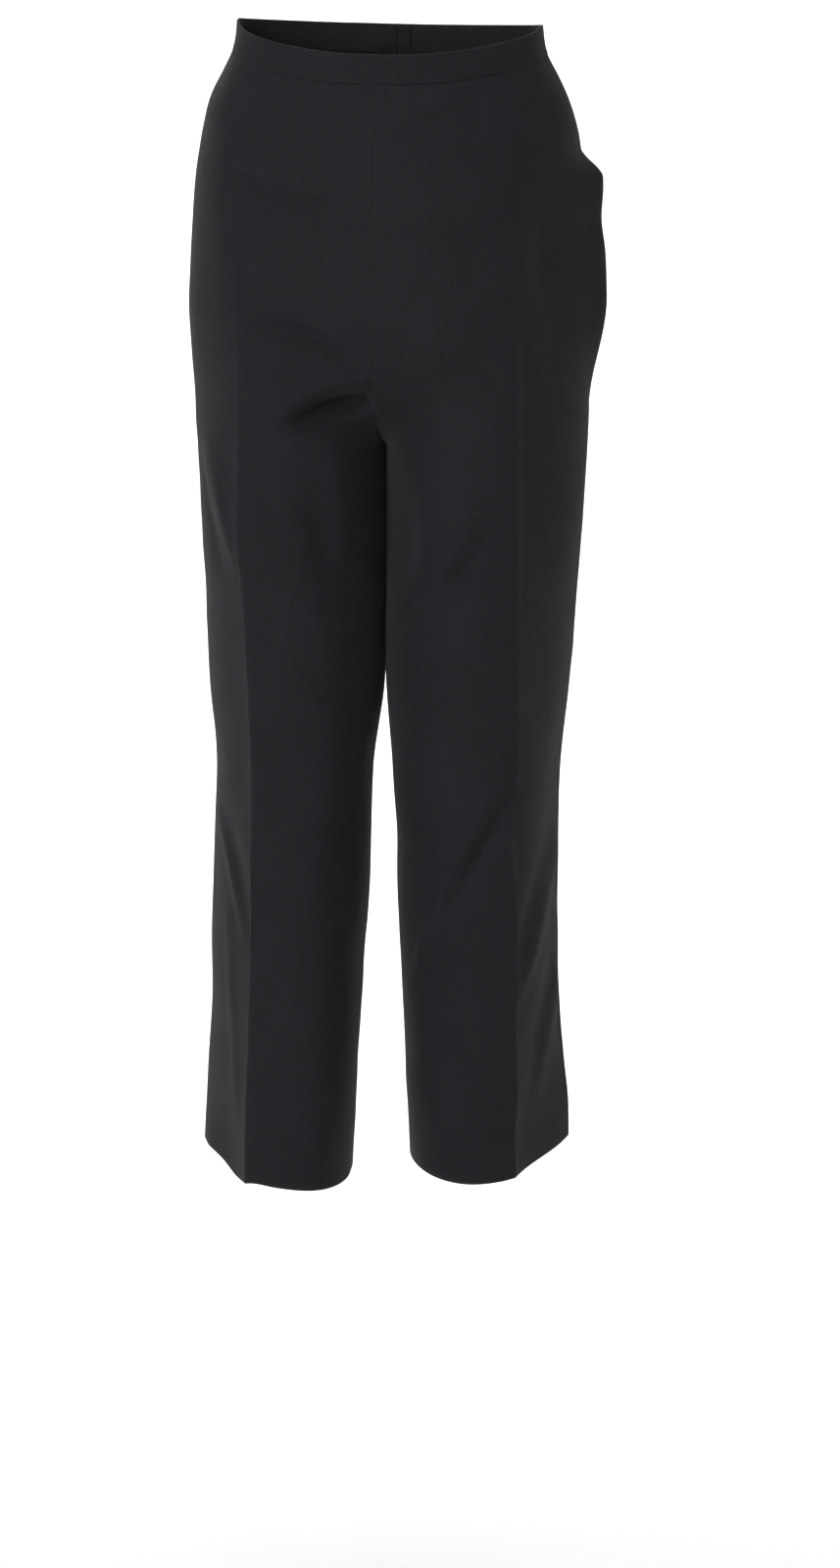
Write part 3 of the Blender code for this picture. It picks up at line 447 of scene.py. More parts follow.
def foldHeight(folds, panel, x, z, window):
    # Each fold is a soft ridge or trough along a bent line, measured along its straight pieces.
    total = np.zeros_like(x)
    steps = np.linspace(0.0, 1.0, foldSet["pieces"] + 1)
    for row in folds[panel]:
        x1, z1, x2, z2, x3, z3, width, height = (value / 1000 for value in row)
        lineX = x1 * (1 - steps) ** 2 + 2 * x2 * steps * (1 - steps) + x3 * steps ** 2
        lineZ = z1 * (1 - steps) ** 2 + 2 * z2 * steps * (1 - steps) + z3 * steps ** 2
        reach = foldSet["reach"] * width
        rows = (z[:, 0] > lineZ.min() - reach) & (z[:, 0] < lineZ.max() + reach)
        if not rows.any():
            continue
        hereX, hereZ = x[rows], z[rows]
        near = np.full_like(hereX, 1.0)
        place = np.zeros_like(hereX)
        for k in range(foldSet["pieces"]):
            overX, overZ = lineX[k + 1] - lineX[k], lineZ[k + 1] - lineZ[k]
            along01 = ((hereX - lineX[k]) * overX + (hereZ - lineZ[k]) * overZ) / (overX ** 2 + overZ ** 2)
            along01 = np.clip(along01, 0.0, 1.0)
            gap = np.hypot(hereX - lineX[k] - along01 * overX, hereZ - lineZ[k] - along01 * overZ)
            place = np.where(gap < near, (k + along01) / foldSet["pieces"], place)
            near = np.minimum(near, gap)
        fade = foldSet["endShare"] + (1 - foldSet["endShare"]) * np.sin(math.pi * place)
        total[rows] += height * fade * np.exp(-((near / width) ** 2))
    return total * window


def waistDrop(face, level, y, sideY, centreY):
    dip = band["frontDip"] if face == "front" else band["backDip"]
    roundWay = np.clip((y - sideY) / (centreY - sideY), 0.0, 1.2)
    fade = ease((level - band["fadeLevel"]) / -band["fadeLevel"])
    return dip * (1 + band["softness"]) * roundWay ** 2 / (roundWay + band["softness"]) * fade


def hemLift(side, level, x):
    inner, middle, outer = hemRise[side]
    t = np.clip((x - hemRiseReach["inner"]) / (hemRiseReach["outer"] - hemRiseReach["inner"]), 0.0, 1.0)
    rise = inner * (1 - t) * (1 - 2 * t) + 4 * middle * t * (1 - t) + outer * t * (2 * t - 1)
    rise = rise + hemDroop[side] * np.exp(-(((x - hemDroop["x"]) / hemDroop["width"]) ** 2))
    return rise * ease((hemRiseReach["top"] - level) / (hemRiseReach["top"] - cut["hemLevel"]))


def pocketBow(side, face, level, u):
    frontBow, backBow, parting = pocketLips[side]
    bow = frontBow if face == "front" else backBow
    rise = ease((pocket["top"] - level) / pocket["rise"])
    fall = 1 - ease((pocket["bulgeEnd"] - level) / pocket["bulgeFall"])
    waver = 1 - pocket["dent"] * np.exp(-(((level - pocket["dentLevel"]) / pocket["dentSpan"]) ** 2))
    across = np.clip(1 - u / pocket["reach"], 0, 1) ** 2
    mouth = np.sin(math.pi * np.clip((pocket["top"] - level) / (pocket["top"] - pocket["bottom"]), 0, 1))
    return bow * rise * fall * waver * across, parting / 2 * mouth * across


def underStep(level):               # how far one front's inner edge lies behind the other's
    span = ease((foldSet["underTop"] - level) / foldSet["underIn"])
    return foldSet["under"] * (span * ease((level - foldSet["underFoot"]) / foldSet["underOut"]))


def surface(side, face, level, u, bowed=True, creased=True):
    # Outer points of the cloth for a column of heights and rows of u.
    level = np.atleast_1d(np.asarray(level, float))
    u = np.atleast_2d(np.asarray(u, float)) * np.ones((len(level), 1))
    x, y, outX, outY = section(side, face, level, u)
    z = level[:, None] * np.ones_like(u)
    panel = face + side.capitalize()
    window = ease(u / cut["foldEdgeFade"]) * ease((2 - u) / cut["foldEdgeFade"])
    height = foldHeight(largeFolds, panel, x, z, window)
    fine = 0.0
    if creased:
        fineWindow = ease(u / foldSet["edgeFade"]) * ease((2 - u) / foldSet["edgeFade"])
        fine = foldHeight(fineCreases, panel, x, z, fineWindow)
        # Below the crotch the legs touch, so near the inseam a crease only moves the cloth in y.
        legs = ease((foldSet["legsFrom"] - level) / foldSet["legsSpan"])[:, None]
        inner = ease((u - foldSet["innerFrom"]) / foldSet["innerSpan"]) * legs
        height = height + fine * (1 - inner) + crumple(panel, x, z) * window
        fine = fine * inner * (-1.0 if face == "front" else 1.0)
        if panel == "frontRight":     # its inner edge lies a little under the other leg's
            sewn = 1 - legs * (1 - ease((2 - u) / foldSet["innerSpan"]))
            fine = fine + underStep(level)[:, None] * np.exp(-(x / foldSet["underWidth"]) ** 2) * sewn
    parting = 0.0
    if bowed:
        bow, parting = pocketBow(side, face, z, u)
        height = height + bow
    sideY = along(sides[side], "sideY", level)[:, None]
    centreY = along(centre, face + "Y", np.maximum(level, cut["curveStart"]))[:, None]
    z = z - waistDrop(face, z, y, sideY, centreY)
    x = x + height * outX
    y = y + height * outY + fine + (-parting if face == "front" else parting)
    sign = 1.0 if side == "left" else -1.0
    waistFade = ease((level[:, None] - band["fadeLevel"]) / -band["fadeLevel"])
    z = z - band["sideTilt"] * sign * x / band["halfWidth"] * waistFade + hemLift(side, level[:, None], x)
    return np.stack([sign * x, y, z], axis=-1)


# The cloth is never dead flat: slow, slanting waves of a fraction of a millimetre, from seeded draws.
crumpleSet = {
    "seed": 11, "waves": 16, "longest": 0.110, "shortest": 0.026, "height": 0.00016,
    "heightAt": 0.05, "growth": 0.7, "slant": 0.55, "squash": 0.6, "sway": 0.012, "swayLength": 0.05,
}


def crumple(panel, x, z):
    draw = np.random.default_rng(crumpleSet["seed"] + len(panel) * 7 + ord(panel[-2]))
    total = np.zeros_like(x)
    for k in range(crumpleSet["waves"]):
        share = k / (crumpleSet["waves"] - 1)
        length = crumpleSet["longest"] * (crumpleSet["shortest"] / crumpleSet["longest"]) ** share
        way = draw.uniform(-crumpleSet["slant"], crumpleSet["slant"]) + (0.0 if k % 3 else math.pi / 2)
        phase = draw.uniform(0, 2 * math.pi)
        bend = draw.uniform(0.5, 1.5)
        sway = crumpleSet["sway"] * np.sin(z * bend / crumpleSet["swayLength"])
        run = (x * math.cos(way) + z * math.sin(way) * crumpleSet["squash"] + sway) / length
        rise = crumpleSet["height"] * (length / crumpleSet["heightAt"]) ** crumpleSet["growth"]
        total += np.sin(2 * math.pi * run + phase) * rise
    return total


# Meshes from grids.
def unit(vectors):
    return vectors / np.maximum(np.linalg.norm(vectors, axis=-1, keepdims=True), 1e-12)


def runAlong(points):               # distances from the first point, down the rows
    steps = np.cumsum(np.linalg.norm(np.diff(points, axis=0), axis=-1), axis=0)
    return np.concatenate([0 * steps[:1], steps])


def paceAt(side, face, level, edge, creased=True):          # metres of cloth for each unit of u at a seam
    step = 0.01
    near = surface(side, face, level, [edge + step * (1 - edge)], creased=creased)
    return np.linalg.norm(near - surface(side, face, level, [edge], creased=creased), axis=-1) / step


def normalsOf(grid, sign):          # unit normals of a grid of points, from its rows and columns
    return sign * unit(np.cross(np.gradient(grid, axis=0), np.gradient(grid, axis=1)))


def outwardSign(side, face):        # rows of a grid run downwards and columns away from the side seam
    return -1.0 if (side == "left") == (face == "front") else 1.0


def roll(distance, radius):         # how far an edge has turned in, at a distance from it
    short = np.clip(radius - distance, 0.0, radius)
    return radius - np.sqrt(np.maximum(radius ** 2 - short ** 2, 0.0))


def linkMesh(name, points, faces, finish, places=None, wearAndHighlightAmount=None):
    mesh = bpy.data.meshes.new(name)
    mesh.from_pydata(points.tolist(), [], [tuple(f) for f in faces])
    mesh.validate()
    mesh.shade_smooth()
    mesh.materials.append(finish)
    if places is not None:
        mesh.attributes.new("clothPlace", "FLOAT_VECTOR", "POINT").data.foreach_set("vector", places.ravel())
    # wear at creases, hem and seams, with the painted highlight on the left pocket's lip, goes to the finish
    # as a point attribute
    if wearAndHighlightAmount is not None:
        mesh.attributes.new("clothWearAndHighlight", "FLOAT", "POINT").data.foreach_set("value", wearAndHighlightAmount.ravel())
    made = bpy.data.objects.new(name, mesh)
    scene.collection.objects.link(made)
    return made


def gridFaces(rows, columns, around=False):
    r = np.arange(rows - 1)[:, None]
    c = np.arange(columns if around else columns - 1)[None, :]
    after = (c + 1) % columns
    a = r * columns + c
    b = r * columns + after
    return np.stack([a, b, b + columns, a + columns], axis=-1).reshape(-1, 4)


def wallMesh(name, outer, inner, finish, places=None, wearAndHighlightAmount=None):
    rows, columns = outer.shape[:2]
    points = np.concatenate([outer.reshape(-1, 3), inner.reshape(-1, 3)])
    half = rows * columns
    quads = gridFaces(rows, columns)
    top = list(range(columns))
    end = [r * columns + columns - 1 for r in range(rows)]
    foot = [(rows - 1) * columns + c for c in range(columns)][::-1]
    start = [r * columns for r in range(rows)][::-1]
    rim = np.array(top + end[1:] + foot[1:] + start[1:-1])
    after = np.roll(rim, -1)
    sideQuads = np.stack([after, rim, rim + half, after + half], axis=-1)
    faces = np.concatenate([quads, quads[:, ::-1] + half, sideQuads])
    corners = points[faces[:, :3]]
    if np.linalg.det(corners).sum() < 0:
        faces = faces[:, ::-1]
    both = None if places is None else np.concatenate([places.reshape(-1, 3), places.reshape(-1, 3)])
    wearAndHighlight = None if wearAndHighlightAmount is None else np.concatenate([wearAndHighlightAmount.ravel(), wearAndHighlightAmount.ravel()])
    return linkMesh(name, points, faces, finish, both, wearAndHighlight)


# Finishes.
suiting = {
    "dark": (0.0066, 0.0056, 0.0072),
    "light": (0.0128, 0.0113, 0.0137),
    # the lighter tint of worn cloth, also laid on as a painted highlight along the left pocket's lip
    "wearAndHighlightTint": (0.0185, 0.0168, 0.0196),
    "yarnPitch": 0.00046,
    "ribPitch": 0.00092,
    "fleck": 760.0,           # melange flecks per metre
    "cloud": 14.0,            # slow change of tone over the panel
    "roughness": 0.82,
    "sheen": 0.034,
    "sheenRoughness": 0.36,
    "specular": 0.07,
    "sheenTint": (0.92, 0.90, 1.0, 1.0),
    "weaveDepth": 0.00011,
    "fuzzDepth": 0.00016,
    "crushDepth": 0.0011,
}


class Nodes:                  # short hands for a material's node tree
    def __init__(self, name):
        self.material = bpy.data.materials.new(name)
        self.material.use_nodes = True
        self.tree = self.material.node_tree
        self.shader = self.tree.nodes["Principled BSDF"]

    def add(self, kind, **values):
        node = self.tree.nodes.new("ShaderNode" + kind)
        for key, value in values.items():
            setattr(node, key, value)
        return node

    def put(self, node, socket, value):
        if hasattr(value, "is_output"):
            self.tree.links.new(value, node.inputs[socket])
        else:
            node.inputs[socket].default_value = value

    def math(self, operation, a, b=0.0):
        node = self.add("Math", operation=operation)
        self.put(node, 0, a)
        self.put(node, 1, b)
        return node.outputs[0]

    def noise(self, vector, scale, detail=2.0, roughness=0.5):
        node = self.add("TexNoise")
        sockets = {"Vector": vector, "Scale": scale, "Detail": detail, "Roughness": roughness}
        for socket, value in sockets.items():
            self.put(node, socket, value)
        return node.outputs["Fac"]

    def mapped(self, value, low, high, toLow, toHigh):
        node = self.add("MapRange")
        for socket, number in enumerate((value, low, high, toLow, toHigh)):
            self.put(node, socket, number)
        return node.outputs[0]

    def mix(self, factor, a, b):
        node = self.add("Mix", data_type="RGBA")
        self.put(node, 0, factor)
        self.put(node, 6, a)
        self.put(node, 7, b)
        return node.outputs[2]

    def bump(self, height, distance, strength=1.0, normal=None):
        node = self.add("Bump")
        self.put(node, "Height", height)
        self.put(node, "Distance", distance)
        self.put(node, "Strength", strength)
        if normal is not None:
            self.put(node, "Normal", normal)
        return node.outputs["Normal"]

    def cloth(self):          # the place on the cloth, and its two ways apart
        place = self.add("Attribute", attribute_name="clothPlace").outputs["Vector"]
        split = self.add("SeparateXYZ")
        self.put(split, 0, place)
        return place, split.outputs[0], split.outputs[1]

    def wave(self, value, pitch):
        return self.math("SINE", self.math("MULTIPLY", value, 2 * math.pi / pitch))

    def finish(self, sockets):
        for socket, value in sockets.items():
            self.put(self.shader, socket, value)
        return self.material

    def scaled(self, vector, amounts):
        node = self.add("VectorMath", operation="MULTIPLY")
        self.put(node, 0, vector)
        self.put(node, 1, amounts)
        return node.outputs[0]


def rgba(colour):
    return tuple(colour) + (1.0,)


def suitingCloth(name, tone=1.0):
    n = Nodes(name)
    place, across, up = n.cloth()
    # wear at creases, hem, seams and the band's top, and the painted highlight along the left pocket's lip,
    # read from the mesh
    wearAndHighlightAmount = n.add("Attribute", attribute_name="clothWearAndHighlight").outputs["Fac"]
    diagonal = n.wave(n.math("ADD", across, up), suiting["ribPitch"])
    warp = n.wave(across, suiting["yarnPitch"])
    weft = n.wave(up, suiting["yarnPitch"])
    yarns = n.math("MULTIPLY", n.math("ADD", warp, weft), 0.3)
    weave = n.math("ADD", n.math("MULTIPLY", diagonal, 0.5), yarns)
    flecks = n.noise(n.scaled(place, (1.0, 0.55, 1.0)), suiting["fleck"], 3.0, 0.6)
    slubs = n.noise(n.scaled(place, (1.0, 0.12, 1.0)), suiting["fleck"] * 0.6, 2.0)
    cloud = n.noise(place, suiting["cloud"], 3.0, 0.55)
    fuzz = n.noise(place, suiting["fleck"] * 1.7, 3.0, 0.65)
    crush = n.noise(n.scaled(place, (1.0, 0.6, 1.0)), 46.0, 3.0, 0.5)
    melange = n.math("ADD", n.math("MULTIPLY", flecks, 0.85), n.math("MULTIPLY", slubs, 0.15))
    dark, light, wearAndHighlightTint = (rgba([c * tone for c in suiting[key]]) for key in ("dark", "light", "wearAndHighlightTint"))
    tint = n.mix(n.mapped(melange, 0.34, 0.66, 0.0, 1.0), dark, light)
    clouded = n.add("Mix", data_type="RGBA", blend_type="MULTIPLY")
    n.put(clouded, 0, 1.0)
    n.put(clouded, 6, tint)
    grey = n.add("CombineColor")
    for k in range(3):
        n.put(grey, k, n.mapped(cloud, 0.3, 0.7, 0.90, 1.10))
    n.put(clouded, 7, grey.outputs[0])
    rough = n.mapped(flecks, 0.3, 0.7, suiting["roughness"] - 0.06, suiting["roughness"] + 0.06)
    normal = n.bump(crush, suiting["crushDepth"], 0.5)
    normal = n.bump(fuzz, suiting["fuzzDepth"], 0.8, normal)
    return n.finish({
        # worn places and the painted highlight are mixed towards the lighter tint and made a little smoother
        "Base Color": n.mix(n.math("MULTIPLY", wearAndHighlightAmount, 0.55), clouded.outputs[2], wearAndHighlightTint),
        "Roughness": n.math("SUBTRACT", rough, n.math("MULTIPLY", wearAndHighlightAmount, 0.14)),
        "Specular IOR Level": suiting["specular"],
        "Sheen Weight": suiting["sheen"],
        "Sheen Roughness": suiting["sheenRoughness"],
        "Sheen Tint": suiting["sheenTint"],
        "Normal": n.bump(weave, suiting["weaveDepth"], 0.7, normal),
    })


pocketing = {
    "yarnPitch": 0.00034, "weaveDepth": 0.00006, "cloud": 120.0, "roughness": (0.50, 0.62), "specular": 0.35,
    "dark": (0.0075, 0.0073, 0.0080), "light": (0.0140, 0.0136, 0.0146),
}
zipLook = {
    "lacquer": (0.010, 0.010, 0.011), "bare": (0.20, 0.19, 0.18), "rubRadius": 0.0004,
    "metallic": 0.55, "metalRoughness": (0.26, 0.42), "metalDepth": 0.00003,
    "tapeDark": (0.0046, 0.0040, 0.0050), "tapeLight": (0.0086, 0.0076, 0.0092),
    "ribPitch": 0.0011, "rowPitch": 0.0006, "tapeDepth": 0.00010, "tapeRoughness": 0.80, "tapeSpecular": 0.12,
    "nylonDark": (0.006, 0.006, 0.007), "nylonLight": (0.010, 0.010, 0.011),
    "nylonRoughness": (0.46, 0.58), "nylonSpecular": 0.22,
}


def pocketingCloth():         # a close plain weave, a little shiny
    n = Nodes("pocketingCloth")
    place, across, up = n.cloth()
    warp = n.wave(across, pocketing["yarnPitch"])
    weft = n.wave(up, pocketing["yarnPitch"])
    cloud = n.noise(place, pocketing["cloud"], 4.0)
    return n.finish({
        "Base Color": n.mix(cloud, rgba(pocketing["dark"]), rgba(pocketing["light"])),
        "Roughness": n.mapped(n.noise(place, 300.0), 0.3, 0.7, *pocketing["roughness"]),
        "Specular IOR Level": pocketing["specular"],
        "Normal": n.bump(n.math("MULTIPLY", warp, weft), pocketing["weaveDepth"], 0.6),
    })


def zipMetal():               # black lacquer on zinc, rubbed along its edges
    n = Nodes("zipMetal")
    place = n.add("TexCoord").outputs["Object"]
    edge = n.add("Bevel", samples=4)
    n.put(edge, "Radius", zipLook["rubRadius"])
    turned = n.add("VectorMath", operation="DOT_PRODUCT")
    n.put(turned, 0, edge.outputs[0])
    n.put(turned, 1, n.add("NewGeometry").outputs["Normal"])
    lighterEdge = n.mapped(turned.outputs["Value"], 0.96, 0.80, 0.0, 1.0)
    broken = n.math("MULTIPLY", lighterEdge, n.mapped(n.noise(place, 2600.0, 3.0), 0.40, 0.62, 0.0, 1.0))
    return n.finish({
        "Base Color": n.mix(broken, rgba(zipLook["lacquer"]), rgba(zipLook["bare"])),
        "Metallic": zipLook["metallic"],
        "Roughness": n.mapped(n.noise(place, 1400.0, 4.0), 0.3, 0.7, *zipLook["metalRoughness"]),
        "Normal": n.bump(n.noise(place, 3400.0, 2.0), zipLook["metalDepth"], 0.4),
    })


def zipTapeCloth():
    n = Nodes("zipTapeCloth")
    place, across, up = n.cloth()
    ribs = n.wave(across, zipLook["ribPitch"])
    rows = n.wave(up, zipLook["rowPitch"])
    dark, light = rgba(zipLook["tapeDark"]), rgba(zipLook["tapeLight"])
    return n.finish({
        "Base Color": n.mix(n.noise(place, 700.0, 3.0), dark, light),
        "Roughness": zipLook["tapeRoughness"],
        "Specular IOR Level": zipLook["tapeSpecular"],
        "Normal": n.bump(n.math("ADD", ribs, n.math("MULTIPLY", rows, 0.5)), zipLook["tapeDepth"], 0.8),
    })


def zipNylon():
    n = Nodes("zipNylon")
    place = n.add("TexCoord").outputs["Object"]
    return n.finish({
        "Base Color": n.mix(n.noise(place, 900.0), rgba(zipLook["nylonDark"]), rgba(zipLook["nylonLight"])),
        "Roughness": n.mapped(n.noise(place, 2000.0), 0.3, 0.7, *zipLook["nylonRoughness"]),
        "Specular IOR Level": zipLook["nylonSpecular"],
    })


finishes = {
    "panel": suitingCloth("blackSuiting"),
    "band": suitingCloth("blackSuitingBand", 0.97),
    "bag": pocketingCloth(),
    "metal": zipMetal(),
    "tape": zipTapeCloth(),
    "nylon": zipNylon(),
}
print("stage 2: finishes made")


# The four panels.
panelSet = {
    "across": {"front": 52, "back": 44},                     # columns in each quarter
    "edges": (0.00005, 0.00022, 0.00045, 0.00085, 0.0014, 0.0022),     # extra places in from a seam
    "creasePlaces": (0.0035, 0.009, 0.018),                  # extra places beside the crease, in u
    "creaseClear": 0.002,
    "middleFrom": 0.022,      # even columns nearer a seam than this, in u, are left out
    "topRows": (0.0114, 0.01155, 0.0118, 0.0123, 0.0131, 0.0145),      # below the waist line
    "evenFrom": 0.017,
    "evenClear": 0.004,
    "hemRows": (0.0030, 0.0018, 0.0010, 0.0005, 0.00015, 0.0),         # above the hem
    "rowStep": 0.0026,
    "leastWall": 0.0003,
    "dartFade": 0.05,
    "dartBottom": -0.118,
    "dartDepth": 0.0009,
    "dartWidth": 0.0008,
}
wearAndHighlightSet = {                   # how much the cloth is worn at creases, hem and seams, how strong the painted highlight along the left pocket's lip is, and how wide a line of each
    "crease": 0.55, "creaseWidth": 0.0022, "creaseFrom": -0.16, "creaseSpan": 0.12,
    "hemWidth": 0.0025, "edge": 0.10, "edgeWidth": 0.0016,
    "mouth": 0.8, "mouthWidth": 0.004, "mouthIn": 0.01, "mouthOut": 0.02,
}


def panelRows():
    even = np.arange(-panelSet["evenFrom"], cut["hemLevel"] + panelSet["evenClear"], -panelSet["rowStep"])
    lowRows = cut["hemLevel"] + np.array(panelSet["hemRows"])
    return np.concatenate([-np.array(panelSet["topRows"]), even, lowRows])


def panelColumns(side, face, level):
    base = np.linspace(0.0, 2.0, 2 * panelSet["across"][face] + 1)
    near = [1 + s * d for s in (-1, 1) for d in panelSet["creasePlaces"]]
    base = base[np.abs(base - 1) > panelSet["creasePlaces"][-1] + panelSet["creaseClear"]]
    middle = np.sort(np.concatenate([base[1:-1], near, [1.0]]))
    middle = middle[(middle > panelSet["middleFrom"]) & (middle < 2 - panelSet["middleFrom"])]
    # Known fault: along parts of the backs' seams and by the crotch the last of these passes its neighbour.
    offsets = [np.array(panelSet["edges"])[None, :] / paceAt(side, face, level, edge, creased=False)
               for edge in (0.0, 2.0)]
    return np.concatenate([offsets[0], np.ones((len(level), 1)) * middle, 2 - offsets[1][:, ::-1]], axis=1)


def makePanel(side, face):
    name = "panel" + face.capitalize() + side.capitalize()
    level = panelRows()
    u = panelColumns(side, face, level)
    grid = surface(side, face, level, u)
    normal = normalsOf(grid, outwardSign(side, face))
    across = runAlong(grid.swapaxes(0, 1)).T
    creaseColumn = int(np.argmin(np.abs(u[0] - 1)))
    fromCrease = across - across[:, creaseColumn:creaseColumn + 1]
    down = runAlong(grid[:, creaseColumn])[:, None] * np.ones_like(across)
    fromEdge = np.minimum(across, across[:, -1:] - across)
    fromHem = down[-1:, :] - down
    hemRoll = cut["hemCloth"] * 0.5
    turned = np.maximum(roll(fromEdge, cut["seamRoll"]), roll(down, cut["edgeRoll"]))
    turned = np.maximum(turned, roll(fromHem, hemRoll))
    if face == "back":        # the waist dart, sewn along the crease line
        sewn = ease((level - panelSet["dartBottom"]) / panelSet["dartFade"])[:, None]
        off = fromCrease / panelSet["dartWidth"]
        turned = turned + panelSet["dartDepth"] * sewn * np.exp(-off * off)
    thick = np.where(level < cut["hemLevel"] + cut["hemDepth"], cut["hemCloth"], cut["cloth"])[:, None]
    thick = thick * (1 - 0.5 * roll(fromHem, hemRoll) / hemRoll)
    outer = grid - normal * turned[..., None]
    inner = grid - normal * np.maximum(thick, turned + panelSet["leastWall"])[..., None]
    for edge, near in ((0, 1), (-1, -2)):                      # sewn edges meet
        way = unit(grid[:, edge] - grid[:, near]) * cut["seamMeet"]
        outer[:, edge] += way
        inner[:, edge] += way
    rise = unit(grid[0] - grid[1]) * cut["seamGap"]
    outer[0] += rise
    inner[0] += rise
    if name == "panelFrontLeft":       # its turned edge reaches the one lying under it
        inner[:, -1, 1] += underStep(level)
    places = np.stack([fromCrease, -down, 0 * down], axis=-1)
    pressed = np.exp(-(fromCrease / wearAndHighlightSet["creaseWidth"]) ** 2)
    pressed = pressed * ease((wearAndHighlightSet["creaseFrom"] - level) / wearAndHighlightSet["creaseSpan"])[:, None]
    wearAndHighlight = np.maximum(wearAndHighlightSet["crease"] * pressed, np.exp(-(fromHem / wearAndHighlightSet["hemWidth"]) ** 2))
    wearAndHighlight = np.maximum(wearAndHighlight, wearAndHighlightSet["edge"] * np.exp(-(fromEdge / wearAndHighlightSet["edgeWidth"]) ** 2))
    # A painted highlight along the lip of the left pocket's mouth, where the flared lip catches the light:
    # the cloth there is drawn in the lighter tint, through the same channel as the wear.
    if side == "left" and face == "front":
        mouth = ease((pocket["top"] - level) / wearAndHighlightSet["mouthIn"])
        mouth = mouth * ease((level - pocket["bottom"]) / wearAndHighlightSet["mouthOut"])
        lighterEdge = wearAndHighlightSet["mouth"] * mouth[:, None] * np.exp(-(across / wearAndHighlightSet["mouthWidth"]) ** 2)
        wearAndHighlight = np.maximum(wearAndHighlight, lighterEdge)
    made = wallMesh(name, outer, inner, finishes["panel"], places, wearAndHighlight)
    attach(made, "garment")
    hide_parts(face + "_" + side)
    return made


for side in ("left", "right"):
    for face in ("front", "back"):
        makePanel(side, face)
print("stage 3: panels sewn")


# The waistband.
bandSet = {
    "columns": 90,            # in each half of each face
    "faceRows": 7,
    "turnRows": 5,            # round the folded top and the seam below
    "topRoll": 0.0012,
    "footRoll": 0.0008,
    "edge": (0.00005, 0.0003, 0.0008, 0.0016),
    "edgeClear": 0.008,
    "levels": 25,             # heights at which the surface is read
    "reach": 0.012,
    "wearAndHighlightAmount": 0.45,
    "wearWidth": 0.0009,
}


def bandProfile():            # (height, share of the way in) once round the band's cross-section
    half = band["height"] / 2
    top, foot, thick = bandSet["topRoll"], bandSet["footRoll"], band["thick"]
    heights = list(np.linspace(-half + foot, half - top, bandSet["faceRows"]))
    outer = [(h, 0.0) for h in heights]
    turns = np.radians(np.linspace(0, 90, bandSet["turnRows"]))
    topOuter = [(half - top + top * math.sin(a), top - top * math.cos(a)) for a in turns[1:]]
    topInner = [(half - top + top * math.cos(a), thick - top + top * math.sin(a)) for a in turns]
    inner = [(h, thick) for h in heights[::-1][1:]]
    footInner = [(-half + foot - foot * math.sin(a), thick - foot + foot * math.cos(a)) for a in turns[1:]]
    footOuter = [(-half + foot - foot * math.cos(a), foot - foot * math.sin(a)) for a in turns[:-1]]
    return outer + topOuter + topInner + inner + footInner + footOuter


def bandRing(side, face, sewnStart, sewnEnd):
    profile = bandProfile()
    level = np.linspace(bandSet["reach"], -bandSet["reach"], bandSet["levels"])
    middleRow = bandSet["levels"] // 2
    base = np.linspace(0.0, 2.0, bandSet["columns"] + 1)
    edges = np.array(bandSet["edge"])
    first, last = np.array([0.0]), np.array([2.0])
    if sewnStart:
        first = edges / paceAt(side, face, [0.0], 0.0)[0, 0]
    if sewnEnd:
        last = 2 - edges[::-1] / paceAt(side, face, [0.0], 2.0)[0, 0]
    middle = base[(base > first[-1] + bandSet["edgeClear"]) & (base < last[0] - bandSet["edgeClear"])]
    u = np.concatenate([first, middle, last])
    grid = surface(side, face, level, u[None, :] * np.ones((len(level), 1)))
    normal = normalsOf(grid, outwardSign(side, face))
    order = np.argsort(level)
    rings = np.zeros((len(u), len(profile), 3))
    across = runAlong(grid[middleRow])
    edge = np.full(len(u), 1.0)
    if sewnStart:
        edge = np.minimum(edge, across)
    if sewnEnd:
        edge = np.minimum(edge, across[-1] - across)
    turned = roll(edge, cut["edgeRoll"])
    for k in range(len(u)):
        for j, (height, depth) in enumerate(profile):
            point, way = (np.array([np.interp(height, level[order], read[order, k, a]) for a in range(3)])
                          for read in (grid, normal))
            lift = band["proud"] - depth
            middleDepth = band["proud"] - band["thick"] / 2
            lift = lift + (middleDepth - lift) * min(1.0, turned[k] / (band["thick"] / 2))
            rings[k, j] = point + unit(way) * lift
    for sewn, edge, near in ((sewnStart, 0, 1), (sewnEnd, -1, -2)):
        if sewn:
            rings[edge] += unit(grid[middleRow, edge] - grid[middleRow, near]) * cut["seamMeet"]
    return rings, across


def bandMesh(name, rings, across):
    columns, around = rings.shape[:2]
    points = rings.reshape(-1, 3)
    faces = gridFaces(columns, around, around=True)
    caps = [tuple(range(around)), tuple(range((columns - 1) * around, columns * around))]
    corners = points[faces[:, :3]]
    flip = np.linalg.det(corners).sum() < 0
    faces = [tuple(f[::-1]) if flip else tuple(f) for f in faces]
    faces.append(caps[0] if flip else caps[0][::-1])
    faces.append(caps[1][::-1] if flip else caps[1])
    profile = np.array(bandProfile())
    places = np.zeros((columns, around, 3))
    places[..., 0] = across[:, None]
    places[..., 1] = runAlong(profile)[None, :]
    fromTop = (profile[:, 0] - band["height"] / 2) / bandSet["wearWidth"]
    wearAndHighlight = bandSet["wearAndHighlightAmount"] * np.exp(-fromTop ** 2) * np.ones((columns, 1))
    return linkMesh(name, points, faces, finishes["band"], places, wearAndHighlight)


